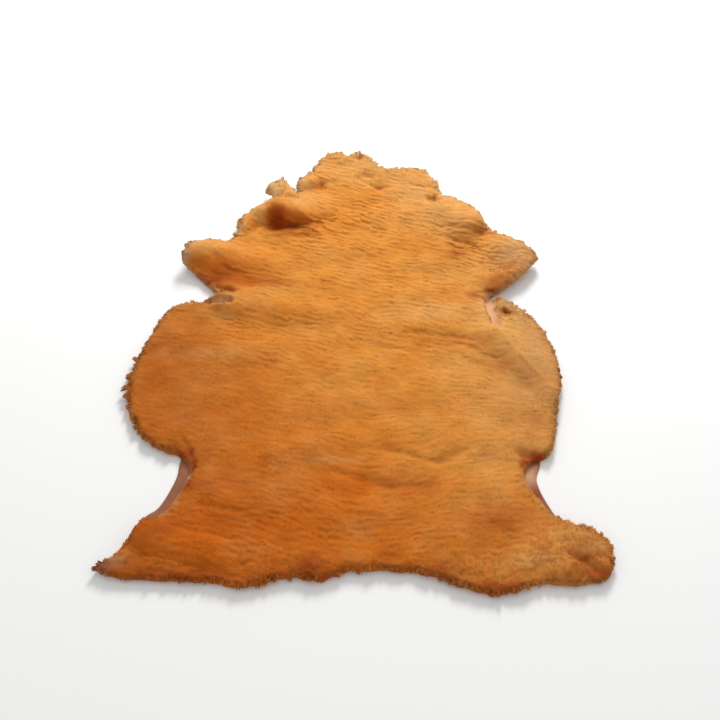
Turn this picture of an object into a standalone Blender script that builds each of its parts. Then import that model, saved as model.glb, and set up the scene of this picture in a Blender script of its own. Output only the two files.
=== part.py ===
"""A shorn sheepskin hide, wool side up, lying as it was put down.

The hide is one piece: tanned skin with its wool still on. It is drawn flat as an outline of
landmarks (neck, forelegs, belly lobes, flanks, hind legs, rump), laid over a table of folds,
and thickened by a wool depth that fades to bare skin in the armpits and along the flanks.
Its rim carries short locks of wool. All sizes are in metres.
"""

from collections import namedtuple

import bmesh
import bpy
import numpy as np
from mathutils import Vector
from mathutils.geometry import delaunay_2d_cdt

MM = 0.001

# Driving sizes.
SKIN = 2.0 * MM  # tanned skin
WOOL = 11.0 * MM  # shorn wool standing on it
LOCK_PITCH = 15.0 * MM  # one lock of the rim to the next, on average
LOCK_STRAY = 0.3  # how far a lock's root or tip strays along the rim, against half the pitch
LOCK_REACH = (0.15, 0.95)  # a tip's reach past the outline, against the longest lock there
ROOT_REACH = (-0.40, -0.15)  # a root's, which lies inside it
SHOULDER_INSET = 9.0 * MM  # from the rim to where the wool has its full depth
SKIN_INSET = 4.0 * MM  # how far the skin's edge lies under the wool's
BARE_FADE = 6.0 * MM  # from bare skin to full wool
LATTICE = 13.0 * MM  # points of the surface where it bends; twice that elsewhere
TOP_BEND = 0.8 * MM  # how far the wool side bends within a step before it gets every point
UNDER_BEND = 2.2 * MM  # the same for the skin side
FLOOR_TRIM = 1.0 * MM  # folds lower than this lie flat on the floor
RIM_WOOL_SHARE = 0.84  # wool depth at the shoulder, against the full depth
LOCK_SHARE = 0.42  # height of a lock's tip in the wool
SEED = 11

# The outline, clockwise from the neck's far edge, in millimetres: across is to the right,
# along is towards the neck. wool is the share of the full wool depth that reaches the rim,
# and lock is the longest lock there.
Landmark = namedtuple("Landmark", "place across along wool lock")
OUTLINE = (
    Landmark("neck, left crest", -32, 499, 1.0, 8),
    Landmark("neck, notch of the crest", -18, 486, 1.0, 6),
    Landmark("neck, right crest", 5, 499, 1.0, 8),
    Landmark("neck, far right", 26, 486, 1.0, 7),
    Landmark("neck, first scallop", 58, 449, 1.0, 7),
    Landmark("neck, second scallop", 92, 446, 1.0, 7),
    Landmark("neck, third scallop", 132, 442, 1.0, 7),
    Landmark("neck, right corner", 159, 408, 1.0, 7),
    Landmark("neck, right dip", 173, 368, 1.0, 6),
    Landmark("neck roll, far edge", 198, 352, 1.0, 7),
    Landmark("neck roll, shoulder", 236, 311, 1.0, 6),
    Landmark("neck roll, end", 250, 276, 1.0, 6),
    Landmark("right foreleg, root", 268, 259, 1.0, 6),
    Landmark("right foreleg, far edge", 298, 237, 1.0, 6),
    Landmark("right foreleg, bend", 327, 214, 1.0, 6),
    Landmark("right foreleg, tip", 336, 182, 1.0, 5),
    Landmark("right foreleg, near edge", 305, 137, 1.0, 3),
    Landmark("right armpit, leg side", 264, 101, 0.9, 3),
    Landmark("right armpit", 247, 89, 0.0, 1),
    Landmark("right lobe, root", 273, 84, 0.8, 5),
    Landmark("right lobe, far edge", 301, 54, 1.0, 6),
    Landmark("right lobe, upper", 333, 2, 1.0, 6),
    Landmark("right lobe, shoulder", 347, -55, 1.0, 5),
    Landmark("right lobe, widest", 348, -108, 1.0, 5),
    Landmark("right lobe, nick", 336, -160, 0.9, 4),
    Landmark("right lobe, lower", 327, -208, 1.0, 6),
    Landmark("right lobe, end", 316, -250, 0.9, 6),
    Landmark("right flank, top", 301, -267, 0.4, 2),
    Landmark("right flank, waist", 288, -304, 0.0, 2),
    Landmark("right flank, lower", 299, -342, 0.0, 2),
    Landmark("right hind leg, root", 318, -374, 0.7, 6),
    Landmark("right hind leg, far edge", 350, -392, 1.0, 9),
    Landmark("right hind leg, corner", 380, -414, 1.0, 9),
    Landmark("right hind leg, tip", 381, -445, 1.0, 9),
    Landmark("right hind leg, heel", 368, -474, 1.0, 8),
    Landmark("right hind leg, near edge", 322, -485, 1.0, 4),
    Landmark("rump, right hollow", 276, -483, 1.0, 5),
    Landmark("rump, right swell", 236, -494, 1.0, 9),
    Landmark("rump, lowest", 202, -500, 1.0, 9),
    Landmark("rump, right of the tail", 160, -488, 1.0, 8),
    Landmark("tail, right", 110, -469, 1.0, 7),
    Landmark("tail, middle", 55, -462, 1.0, 7),
    Landmark("tail, left", -8, -463, 1.0, 7),
    Landmark("rump, left swell", -50, -477, 1.0, 8),
    Landmark("rump, left nick", -95, -472, 1.0, 8),
    Landmark("rump, left lump", -136, -484, 1.0, 9),
    Landmark("rump, left bump", -168, -487, 1.0, 9),
    Landmark("left hind leg, heel", -215, -480, 1.0, 5),
    Landmark("left hind leg, near edge", -290, -477, 1.0, 4),
    Landmark("left hind leg, shank", -347, -473, 0.7, 4),
    Landmark("left hind leg, tip", -381, -457, 0.15, 9),
    Landmark("left hind leg, tip top", -355, -437, 0.5, 5),
    Landmark("left hind leg, far edge", -335, -408, 1.0, 6),
    Landmark("left hind leg, root", -321, -368, 0.5, 4),
    Landmark("left flank, lower", -302, -350, 0.0, 2),
    Landmark("left flank, middle", -284, -306, 0.0, 1),
    Landmark("left flank, top", -281, -262, 0.0, 2),
    Landmark("left lobe, end", -304, -250, 0.9, 3),
    Landmark("left lobe, lower", -338, -226, 1.0, 5),
    Landmark("left lobe, below its widest", -367, -180, 1.0, 10),
    Landmark("left lobe, widest", -381, -120, 1.0, 13),
    Landmark("left lobe, shoulder", -375, -65, 1.0, 10),
    Landmark("left lobe, upper", -358, -3, 1.0, 6),
    Landmark("left lobe, far edge", -333, 57, 1.0, 6),
    Landmark("left lobe, root", -286, 82, 0.8, 5),
    Landmark("left armpit", -250, 96, 0.0, 1),
    Landmark("left armpit, leg side", -264, 112, 0.4, 2),
    Landmark("left foreleg, near edge", -298, 150, 0.9, 3),
    Landmark("left foreleg, tip", -320, 184, 1.0, 5),
    Landmark("left foreleg, bend", -304, 217, 1.0, 6),
    Landmark("left foreleg, far edge", -282, 230, 1.0, 5),
    Landmark("left foreleg, root", -244, 233, 1.0, 4),
    Landmark("neck lip, near", -224, 265, 1.0, 6),
    Landmark("neck lip", -216, 300, 1.0, 6),
    Landmark("neck lip, far", -190, 319, 1.0, 6),
    Landmark("ear tab, left", -163, 344, 1.0, 5),
    Landmark("ear tab, left corner", -171, 375, 1.0, 6),
    Landmark("ear tab, top", -154, 394, 1.0, 7),
    Landmark("ear tab, right", -129, 372, 1.0, 5),
    Landmark("neck, left dip", -114, 370, 1.0, 5),
    Landmark("neck, left lump", -114, 404, 1.0, 7),
    Landmark("neck, far left", -88, 443, 1.0, 7),
    Landmark("neck, left shoulder", -67, 482, 1.0, 7),
)

# The folds that the hide lies in, each a crest from its left end to its right one. bow is
# how far its middle lies off the straight line, rise is its height at each end, near, far
# and ends are its widths on its two sides and past its ends, and lean is how far the crest
# tips to the near side.
Fold = namedtuple("Fold", "name x0 y0 x1 y1 bow rise0 rise1 near far ends lean")
FOLDS = (
    Fold("left neck roll", -150, 314, -66, 322, -4, 29, 5, 22, 40, 24, 8),
    Fold("ear tab", -160, 376, -142, 378, 0, 24, 20, 34, 30, 12, 4),
    Fold("neck lip", -222, 268, -182, 308, 0, 8, 15, 13, 22, 14, 0),
    Fold("left neck lump", -104, 398, -90, 406, 0, 8, 6, 16, 24, 14, 0),
    Fold("neck crest", -50, 478, 20, 474, 4, 5, 3, 30, 30, 24, 0),
    Fold("neck scallops", 56, 436, 142, 420, 6, 4, 8, 32, 30, 20, 0),
    Fold("right neck roll", 130, 338, 232, 284, 12, 6, 24, 48, 46, 22, 7),
    Fold("left foreleg roll", -316, 204, -140, 176, 4, 29, 4, 38, 30, 26, 8),
    Fold("right foreleg roll", 262, 232, 322, 206, 0, 10, 18, 40, 26, 24, 6),
    Fold("right foreleg hem", 268, 118, 318, 164, 0, 12, 12, 22, 26, 20, 0),
    Fold("shoulder fold, left", -232, 66, -30, 54, 3, 17, 4, 32, 58, 20, 2),
    Fold("shoulder fold, right", -20, 46, 240, 12, 4, 3, 6, 26, 62, 20, 2),
    Fold("left lobe fold", -330, -22, -140, -22, 5, 4, 3, 38, 50, 24, 0),
    Fold("right lobe fold", 250, 4, 338, -148, -2, 9, 6, 19, 44, 18, 1),
    Fold("back wave", -100, -246, 210, -240, 12, 3, 5, 32, 45, 40, 0),
    Fold("loin wave", -70, -352, 150, -366, 0, 3, 3, 34, 45, 40, 0),
    Fold("left hind leg roll", -312, -408, -190, -448, 4, 10, 4, 22, 34, 28, 2),
    Fold("right hind leg roll", 250, -418, 345, -408, 8, 4, 10, 24, 28, 24, 2),
    Fold("right hind leg heel", 300, -464, 356, -462, 0, 5, 10, 12, 14, 14, 0),
)

# Places where the wool is pressed in, round, in millimetres.
Dimple = namedtuple("Dimple", "place across along radius depth")
DIMPLES = (
    Dimple("neck crest", 7, 484, 9, 6),
    Dimple("neck, behind the crest", 23, 426, 14, 6),
    Dimple("neck, middle", 49, 390, 16, 5),
    Dimple("neck, right corner", 152, 350, 11, 7),
    Dimple("under the left lump", -72, 396, 9, 8),
    Dimple("beside the left lump", -48, 402, 9, 2),
    Dimple("ear pocket", -150, 282, 22, 9),
    Dimple("right lobe, first hole", 258, 80, 6, 8),
    Dimple("right lobe, second hole", 276, 52, 9, 8),
    Dimple("right hind leg, crease", 334, -440, 12, 3),
    Dimple("right hind leg, crease end", 356, -452, 9, 4),
    Dimple("rump, right", 172, -474, 14, 3),
)

# Strips with no wool, each a line with a width either side of it.
Bare = namedtuple("Bare", "place x0 y0 x1 y1 half_width")
BARES = (
    Bare("left armpit", -268, 86, -222, 84, 8),
    Bare("left armpit, point", -246, 80, -243, 56, 9),
    Bare("right armpit", 246, 86, 252, 30, 13),
    Bare("left flank, top", -272, -256, -269, -290, 12),
    Bare("left flank, bottom", -269, -290, -312, -360, 14),
    Bare("right flank, top", 290, -292, 283, -304, 12),
    Bare("right flank, bottom", 284, -304, 310, -364, 10),
    Bare("left hind leg tip", -380, -452, -358, -452, 12),
)

# Slow swells of the wool's surface.
Swell = namedtuple("Swell", "length bearing phase height")
SWELLS = (
    Swell(96, 78, 0.4, 0.9),
    Swell(71, 104, 2.1, 0.8),
    Swell(58, 36, 4.0, 0.6),
    Swell(49, 152, 1.2, 0.6),
)


def columns(table, *names):
    """Each named column of a table as an array."""
    return [np.array([getattr(row, name) for row in table], float) for name in names]


def eased(t):
    """0 below 0, 1 above 1, and a smooth step between them."""
    t = np.clip(t, 0.0, 1.0)
    return t * t * (3.0 - 2.0 * t)


def held(t):
    """0 well below 0, 1 well above 1 and t between them, with a rounded corner at each."""
    return 0.5 * (1.0 + np.hypot(t, 0.08) - np.hypot(t - 1.0, 0.08))


def lift(x, y):
    """Where the folds put a point of the flat hide: its two shifts and its height.

    Across its crest a fold is a bell, with one width on each side. Along it the height runs
    from one end's to the other's, and past an end it falls away as another bell.
    """
    shift_x = np.zeros_like(x)
    shift_y = np.zeros_like(x)
    height = np.zeros_like(x)
    for fold in FOLDS:
        run_x = (fold.x1 - fold.x0) * MM
        run_y = (fold.y1 - fold.y0) * MM
        length = np.hypot(run_x, run_y)
        ux, uy = run_x / length, run_y / length
        from_x = x - fold.x0 * MM
        from_y = y - fold.y0 * MM
        along = from_x * ux + from_y * uy
        t = held(along / length)
        past = along - t * length
        off = from_y * ux - from_x * uy - fold.bow * MM * 4.0 * t * (1.0 - t)
        width = np.where(off > 0.0, fold.far, fold.near) * MM
        bell = np.exp(-((off / width) ** 2) - (past / (fold.ends * MM)) ** 2)
        height += (fold.rise0 + (fold.rise1 - fold.rise0) * t) * MM * bell
        shift_x += fold.lean * MM * bell * uy
        shift_y -= fold.lean * MM * bell * ux
    return shift_x, shift_y, np.maximum(height - FLOOR_TRIM, 0.0)


def laid(x, y, up):
    """The place of a point `up` above the skin's underside, square to the laid hide."""
    step = 0.5 * MM

    def under(px, py):
        shift_x, shift_y, height = lift(px, py)
        return np.stack([px + shift_x, py + shift_y, height], axis=-1)

    here = under(x, y)
    to_right = under(x + step, y) - under(x - step, y)
    to_neck = under(x, y + step) - under(x, y - step)
    square = np.cross(to_right, to_neck)
    square /= np.linalg.norm(square, axis=-1, keepdims=True)
    return here + square * np.asarray(up)[..., None]


def bareness(x, y):
    """1 on bare skin and 0 where the wool has its full depth."""
    most = np.zeros_like(x)
    for bare in BARES:
        run = np.array([bare.x1 - bare.x0, bare.y1 - bare.y0]) * MM
        from_x = x - bare.x0 * MM
        from_y = y - bare.y0 * MM
        t = np.clip((from_x * run[0] + from_y * run[1]) / (run @ run), 0.0, 1.0)
        away = np.hypot(from_x - t * run[0], from_y - t * run[1])
        most = np.maximum(most, 1.0 - eased((away - bare.half_width * MM) / BARE_FADE))
    return most


def depth(x, y):
    """Skin and wool together: the full wool, its swells and dimples, less where it is bare."""
    swell = np.zeros_like(x)
    for wave in SWELLS:
        bearing = np.radians(wave.bearing)
        run = x * np.cos(bearing) + y * np.sin(bearing)
        swell += wave.height * MM * np.sin(2.0 * np.pi * run / (wave.length * MM) + wave.phase)
    pressed = np.zeros_like(x)
    for dimple in DIMPLES:
        away = np.hypot(x - dimple.across * MM, y - dimple.along * MM)
        pressed += dimple.depth * MM * np.exp(-((away / (dimple.radius * MM)) ** 2))
    wool = np.maximum(WOOL + swell - pressed, 0.25 * WOOL)
    return SKIN + wool * (1.0 - bareness(x, y))


def rim_curve():
    """The outline as a closed smooth curve through the landmarks, cut into half-lock steps.

    Between two landmarks it is a cubic with Catmull-Rom tangents. Returned for each step:
    its point, its outward direction, its wool share and its longest lock.
    """
    knots = np.stack(columns(OUTLINE, "across", "along", "wool", "lock"), axis=1)
    before, after, second = (np.roll(knots, shift, axis=0) for shift in (1, -1, -2))
    t = np.linspace(0.0, 1.0, 24, endpoint=False)[:, None, None]
    curve = 0.5 * (
        2.0 * knots
        + (after - before) * t
        + (2.0 * before - 5.0 * knots + 4.0 * after - second) * t**2
        + (3.0 * knots - before - 3.0 * after + second) * t**3
    )
    curve = curve.transpose(1, 0, 2).reshape(-1, knots.shape[1])
    closed = np.vstack([curve, curve[:1]])
    run = np.hypot(*np.diff(closed[:, :2], axis=0).T)
    travelled = np.concatenate([[0.0], np.cumsum(run)])
    steps = 2 * int(round(travelled[-1] * MM / LOCK_PITCH))
    stray = np.random.default_rng(SEED).uniform(-LOCK_STRAY, LOCK_STRAY, steps)
    at = (np.arange(steps) + 0.5 + stray) / steps * travelled[-1]
    rows = np.stack([np.interp(at, travelled, column) for column in closed.T], axis=1)
    points = rows[:, :2] * MM
    tangent = np.roll(points, -1, axis=0) - np.roll(points, 1, axis=0)
    tangent = tangent + np.roll(tangent, 1, axis=0) + np.roll(tangent, -1, axis=0)
    outward = np.stack([-tangent[:, 1], tangent[:, 0]], axis=1)
    outward /= np.linalg.norm(outward, axis=1, keepdims=True)
    return points, outward, np.clip(rows[:, 2], 0.0, 1.0), np.maximum(rows[:, 3], 1.0) * MM


def rim_rings():
    """Three rings round the rim: the skin's edge, the lock tips and the wool's shoulder.

    Every second step of the middle ring is the tip of a lock, and the steps between are
    the roots, so the locks are three-sided.
    """
    points, outward, wool, lock = rim_curve()
    dice = np.random.default_rng(SEED + 1)
    count = len(points)
    is_tip = np.arange(count) % 2 == 1
    reach = np.where(is_tip, dice.uniform(*LOCK_REACH, count), dice.uniform(*ROOT_REACH, count))
    tips = points + outward * (reach * lock)[:, None]
    skin_edge = points - outward * (SKIN_INSET * (0.4 + 0.6 * wool))[:, None]
    shoulder = points - outward * (SHOULDER_INSET * (0.3 + 0.7 * wool))[:, None]
    tip_up = 0.5 * SKIN + WOOL * wool * LOCK_SHARE * dice.uniform(0.5, 1.3, count)
    shoulder_wool = (depth(*shoulder.T) - SKIN) * RIM_WOOL_SHARE * np.maximum(wool, 0.2)
    return (
        laid(*skin_edge.T, np.zeros(count)),
        laid(*tips.T, tip_up),
        laid(*shoulder.T, SKIN + shoulder_wool),
        skin_edge,
        shoulder,
    )


def inside(ring, x, y):
    """Whether each point lies inside the ring, by counting the edges that it sees."""
    ax, ay = ring.T
    bx, by = np.roll(ring, -1, axis=0).T
    crosses = (ay[None] > y[:, None]) != (by[None] > y[:, None])
    with np.errstate(divide="ignore", invalid="ignore"):
        at = ax + (y[:, None] - ay) * (bx - ax) / (by - ay)
    return ((x[:, None] < at) & crosses).sum(axis=1) % 2 == 1


def lattice(ring, bend, clearance):
    """Points inside the ring on a triangular lattice: all of them where the surface bends
    by more than `bend` within a step, and one in four elsewhere."""
    low, high = ring.min(axis=0), ring.max(axis=0)
    rows = np.arange(0, int((high[1] - low[1]) / (LATTICE * 0.75**0.5)) + 1)
    steps = np.arange(-1, int((high[0] - low[0]) / LATTICE) + 2)
    row, step = (grid.ravel() for grid in np.meshgrid(rows, steps, indexing="ij"))
    x = low[0] + (step + 0.5 * (row % 2)) * LATTICE
    y = low[1] + row * LATTICE * 0.75**0.5
    coarse = (row % 2 == 0) & ((step + row // 2) % 2 == 0)

    def top(px, py):
        return lift(px, py)[2] + depth(px, py)

    sides = np.radians([0, 60, 120, 180, 240, 300])
    around = [top(x + LATTICE * np.cos(side), y + LATTICE * np.sin(side)) for side in sides]
    bent = np.abs(np.mean(around, axis=0) - top(x, y)) > bend
    gap = np.hypot(x[:, None] - ring[:, 0], y[:, None] - ring[:, 1]).min(axis=1)
    keep = (coarse | bent) & (gap > clearance) & inside(ring, x, y)
    return x[keep], y[keep]


def filled(bm, ring_vertices, ring, bend, clearance, place):
    """Fills a ring with triangles over lattice points; `place` gives a lattice point's place."""
    x, y = lattice(ring, bend, clearance)
    inner = [bm.verts.new(point) for point in place(x, y)]
    flat = [Vector(point) for point in np.vstack([ring, np.stack([x, y], axis=1)])]
    count = len(ring)
    found = delaunay_2d_cdt(flat, [], [list(range(count))], 1, 1e-7)
    vertices = ring_vertices + inner
    faces = []
    for face in found[2]:
        faces.append(bm.faces.new([vertices[found[3][corner][0]] for corner in face]))
    return faces


def ring_edges(bm, ring_vertices):
    """The edges round a ring, made where no face has made them yet."""
    edges = []
    for here, there in zip(ring_vertices, ring_vertices[1:] + ring_vertices[:1]):
        edges.append(bm.edges.get((here, there)) or bm.edges.new((here, there)))
    return edges


def finish(name, colour, roughness):
    """A plain Principled material."""
    material = bpy.data.materials.new(name)
    material.use_nodes = True
    shader = material.node_tree.nodes["Principled BSDF"]
    shader.inputs["Base Color"].default_value = (*colour, 1.0)
    shader.inputs["Roughness"].default_value = roughness
    shader.inputs["Metallic"].default_value = 0.0
    return material


def hide_mesh():
    """The hide as one closed body: wool above, skin below, and the rim's locks between."""
    skin_edge, tips, shoulder, flat_edge, flat_shoulder = rim_rings()
    bm = bmesh.new()
    low, middle, high = ([bm.verts.new(point) for point in ring] for ring in (skin_edge, tips, shoulder))
    filled(bm, high, flat_shoulder, TOP_BEND, 0.5 * LATTICE, lambda x, y: laid(x, y, depth(x, y)))
    under = filled(bm, low, flat_edge, UNDER_BEND, 0.8 * LATTICE, lambda x, y: laid(x, y, 0.0 * x))
    for face in under:
        face.material_index = 1
    for one, other in ((low, middle), (middle, high)):
        bmesh.ops.bridge_loops(bm, edges=ring_edges(bm, one) + ring_edges(bm, other))
    bmesh.ops.triangulate(bm, faces=bm.faces)
    bmesh.ops.recalc_face_normals(bm, faces=bm.faces)
    low_corner = np.min([vertex.co for vertex in bm.verts], axis=0)
    high_corner = np.max([vertex.co for vertex in bm.verts], axis=0)
    centre = (low_corner + high_corner) / 2.0
    bmesh.ops.translate(bm, verts=bm.verts, vec=(-centre[0], -centre[1], 0.0))
    mesh = bpy.data.meshes.new("hide")
    bm.to_mesh(mesh)
    bm.free()
    return mesh


def main():
    for stale in list(bpy.data.objects):
        bpy.data.objects.remove(stale, do_unlink=True)
    collection = bpy.data.collections.new("sheepskin_hide")
    bpy.context.scene.collection.children.link(collection)
    mesh = hide_mesh()
    mesh.materials.append(finish("shorn_wool", (0.72, 0.30, 0.06), 0.95))
    mesh.materials.append(finish("tanned_skin", (0.50, 0.28, 0.20), 0.80))
    mesh.shade_smooth()
    collection.objects.link(bpy.data.objects.new("hide", mesh))


main()
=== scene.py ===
"""Looks of a shorn sheepskin hide that lies wool side up.

The frame's solid is replaced by a thin tanned skin and by the fleece that stands on it, both
laid over the same folds as the solid, and by short ends and locks of wool. Sizes are in
metres, except in the tables, where they are in millimetres.
"""

from collections import namedtuple
from functools import lru_cache

import bpy
import numpy as np
from bpy.props import FloatProperty, FloatVectorProperty, PointerProperty
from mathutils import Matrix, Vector
from mathutils.geometry import delaunay_2d_cdt


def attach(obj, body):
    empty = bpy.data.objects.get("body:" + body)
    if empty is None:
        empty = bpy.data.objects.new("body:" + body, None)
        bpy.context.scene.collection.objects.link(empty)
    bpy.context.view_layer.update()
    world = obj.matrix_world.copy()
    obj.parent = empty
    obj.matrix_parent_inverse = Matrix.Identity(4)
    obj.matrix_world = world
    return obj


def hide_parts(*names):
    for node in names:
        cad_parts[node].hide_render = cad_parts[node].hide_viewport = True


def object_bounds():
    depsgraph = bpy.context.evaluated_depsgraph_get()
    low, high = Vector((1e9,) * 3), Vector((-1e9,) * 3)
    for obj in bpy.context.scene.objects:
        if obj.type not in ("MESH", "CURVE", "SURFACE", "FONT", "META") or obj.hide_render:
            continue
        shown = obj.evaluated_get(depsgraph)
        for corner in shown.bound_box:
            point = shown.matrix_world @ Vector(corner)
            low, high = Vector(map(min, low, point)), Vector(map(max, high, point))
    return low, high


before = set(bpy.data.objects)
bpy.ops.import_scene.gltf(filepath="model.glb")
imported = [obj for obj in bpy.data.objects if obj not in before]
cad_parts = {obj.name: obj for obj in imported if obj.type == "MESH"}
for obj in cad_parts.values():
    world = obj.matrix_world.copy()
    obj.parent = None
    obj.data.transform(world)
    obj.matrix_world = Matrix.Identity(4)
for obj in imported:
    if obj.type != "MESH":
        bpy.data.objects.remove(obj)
CAD_BOX = [list(corner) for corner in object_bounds()]

bl_info = {
    "name": "Shorn sheepskin hide",
    "version": (1, 0, 0),
    "blender": (4, 5, 0),
    "location": "3D View > Sidebar > Sheepskin",
    "description": "Makes a sheepskin hide's skin, fleece and locks of wool",
    "category": "Object",
}

MM = 0.001
SEED = 23
TO_CENTRE = (2.88, 1.17)  # millimetres, from the tables' origin to the centre of the hide's box
FLOOR_TRIM = 1.0 * MM  # folds lower than this lie flat on the floor
FLOOR_SOFTNESS = 0.8 * MM  # how softly a fold leaves the floor
CREASE_END = 8.0 * MM  # how far a crease runs out past its ends
LEAST_WOOL = 0.25  # the deepest dimple or crease leaves this share of the wool
CLEAR_OF_SKIN = 0.4 * MM  # how far above the skin the fleece's top lies where no wool grows
RAGGED_EDGE = 0.34  # how far the wool's edge strays, as a share of its locks' length
BARE_RAGGED = 2.2 * MM  # how far the edge of bare skin strays
STAIN_RAGGED = 4.0 * MM  # how far the edge of a stain strays
SKIN_INSET = 1.6 * MM  # how far the skin's edge lies inside the outline where it is bare
WOOL_OVERHANG = 2.4 * MM  # how much further inside it lies under the wool
EDGE_BULGE = 0.5 * MM  # how far the skin's cut edge is rounded out
MAP_MARGIN = 20.0 * MM  # the room left round the hide in the map for baked colours

# Steps of the meshes: how far apart the points of a ring are, how far in the fleece's inner
# rings lie, and a lattice's steps across and along and its clearance from the ring.
SKIN_STEP = 4.0 * MM
SKIN_LATTICE = (8.0 * MM, 6.5 * MM, 4.0 * MM)
WOOL_STEP = 2.4 * MM
FLEECE_RINGS = (1.0 * MM, 2.4 * MM, 4.2 * MM, 6.6 * MM)
FLEECE_LATTICE = (3.4 * MM, 2.3 * MM, 8.0 * MM)
UNDER_RINGS = (2.0 * MM, 5.0 * MM)
UNDER_LATTICE = (13.0 * MM, 11.0 * MM, 9.0 * MM)
LOCK_STEP = 5.5 * MM
ENDS_IN_A_LOCK = 12


def rows(kind, *table):
    """The rows of a table, each as a named tuple of its kind."""
    return tuple(kind(*row) for row in table)


# The wool's outline, clockwise from the neck's far edge, in millimetres: across is to the
# right, along is towards the neck. lock is the longest lock there, and bare is how far the
# wool's edge lies back from the skin's.
Landmark = namedtuple("Landmark", "place across along lock bare")
OUTLINE = rows(Landmark,
    ("neck, left crest", -32, 499, 8, 0),
    ("neck, notch of the crest", -18, 486, 6, 0),
    ("neck, right crest", 5, 499, 8, 0),
    ("neck, far right", 26, 486, 7, 0),
    ("neck, first scallop", 58, 449, 7, 0),
    ("neck, second scallop", 92, 446, 7, 0),
    ("neck, third scallop", 132, 442, 7, 0),
    ("neck, right corner", 159, 408, 7, 0),
    ("neck, right dip", 173, 368, 6, 0),
    ("neck roll, far edge", 198, 352, 7, 0),
    ("neck roll, shoulder", 236, 311, 6, 0),
    ("neck roll, end", 250, 276, 6, 0),
    ("right foreleg, root", 268, 259, 6, 0),
    ("right foreleg, far edge", 298, 237, 6, 0),
    ("right foreleg, bend", 323, 214, 6, 0),
    ("right foreleg, tip", 336, 182, 5, 0),
    ("right foreleg, near edge", 305, 137, 3, 0),
    ("right armpit, leg side", 264, 101, 3, 1),
    ("right armpit", 247, 89, 1, 3),
    ("right lobe, root", 267, 86, 3, 0),
    ("right lobe, far edge", 301, 54, 4, 0),
    ("right lobe, upper", 333, 2, 6, 0),
    ("right lobe, shoulder", 347, -55, 5, 0),
    ("right lobe, widest", 348, -108, 5, 0),
    ("right lobe, nick", 336, -160, 4, 0),
    ("right lobe, lower", 327, -208, 6, 0),
    ("right lobe, end", 316, -250, 6, 0),
    ("right flank, top", 302, -264, 3, 0),
    ("right flank, crease", 295, -279, 1, 17),
    ("right flank, waist", 288, -304, 2, 20),
    ("right flank, lower", 299, -342, 2, 9),
    ("right hind leg, root", 318, -374, 4, 4),
    ("right hind leg, far edge", 350, -392, 9, 0),
    ("right hind leg, corner", 380, -414, 9, 0),
    ("right hind leg, tip", 381, -445, 9, 0),
    ("right hind leg, heel", 368, -474, 8, 0),
    ("right hind leg, near edge", 322, -485, 4, 0),
    ("rump, right hollow", 276, -483, 5, 0),
    ("rump, right swell", 236, -494, 9, 0),
    ("rump, lowest", 202, -500, 9, 0),
    ("rump, right of the tail", 160, -488, 8, 0),
    ("tail, right", 110, -469, 7, 0),
    ("tail, middle", 55, -462, 7, 0),
    ("tail, left", -8, -463, 7, 0),
    ("rump, left swell", -50, -477, 8, 0),
    ("rump, left nick", -95, -472, 8, 0),
    ("rump, left lump", -136, -484, 9, 0),
    ("rump, left bump", -168, -487, 9, 0),
    ("left hind leg, heel", -215, -480, 5, 0),
    ("left hind leg, near edge", -290, -477, 4, 0),
    ("left hind leg, shank", -347, -473, 4, 0),
    ("left hind leg, tip", -381, -457, 9, 0),
    ("left hind leg, tip top", -355, -437, 5, 0),
    ("left hind leg, far edge", -335, -408, 6, 0),
    ("left hind leg, root", -321, -368, 4, 8),
    ("left flank, lower", -302, -350, 2, 17),
    ("left flank, middle", -284, -306, 1, 19),
    ("left flank, upper", -280, -278, 2, 17),
    ("left flank, top", -283, -257, 2, 1),
    ("left lobe, end", -304, -250, 3, 0),
    ("left lobe, lower", -338, -226, 5, 0),
    ("left lobe, below its widest", -367, -180, 10, 0),
    ("left lobe, widest", -381, -120, 13, 0),
    ("left lobe, shoulder", -375, -65, 10, 0),
    ("left lobe, upper", -358, -3, 6, 0),
    ("left lobe, far edge", -333, 57, 6, 0),
    ("left lobe, root", -286, 82, 5, 3),
    ("left armpit", -250, 96, 1, 2),
    ("left armpit, leg side", -264, 112, 1, 0),
    ("left foreleg, near edge", -298, 150, 3, 0),
    ("left foreleg, tip", -320, 184, 5, 0),
    ("left foreleg, bend", -304, 217, 6, 0),
    ("left foreleg, far edge", -282, 230, 5, 0),
    ("left foreleg, root", -244, 233, 4, 0),
    ("neck lip, near", -224, 265, 9, 0),
    ("neck lip", -216, 300, 9, 0),
    ("neck lip, far", -190, 320, 9, 0),
    ("ear tab, left", -159, 348, 5, 0),
    ("ear tab, left corner", -172, 377, 9, 0),
    ("ear tab, first tuft", -164, 387, 8, 0),
    ("ear tab, dip", -158, 390, 5, 0),
    ("ear tab, top", -149, 401, 9, 0),
    ("ear tab, second dip", -143, 397, 5, 0),
    ("ear tab, right tuft", -139, 392, 7, 0),
    ("ear tab, right", -132, 377, 5, 0),
    ("neck, left dip", -116, 374, 5, 0),
    ("neck, left lump", -114, 404, 7, 0),
    ("neck, far left", -88, 443, 7, 0),
    ("neck, left shoulder", -67, 482, 7, 0),
)

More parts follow.
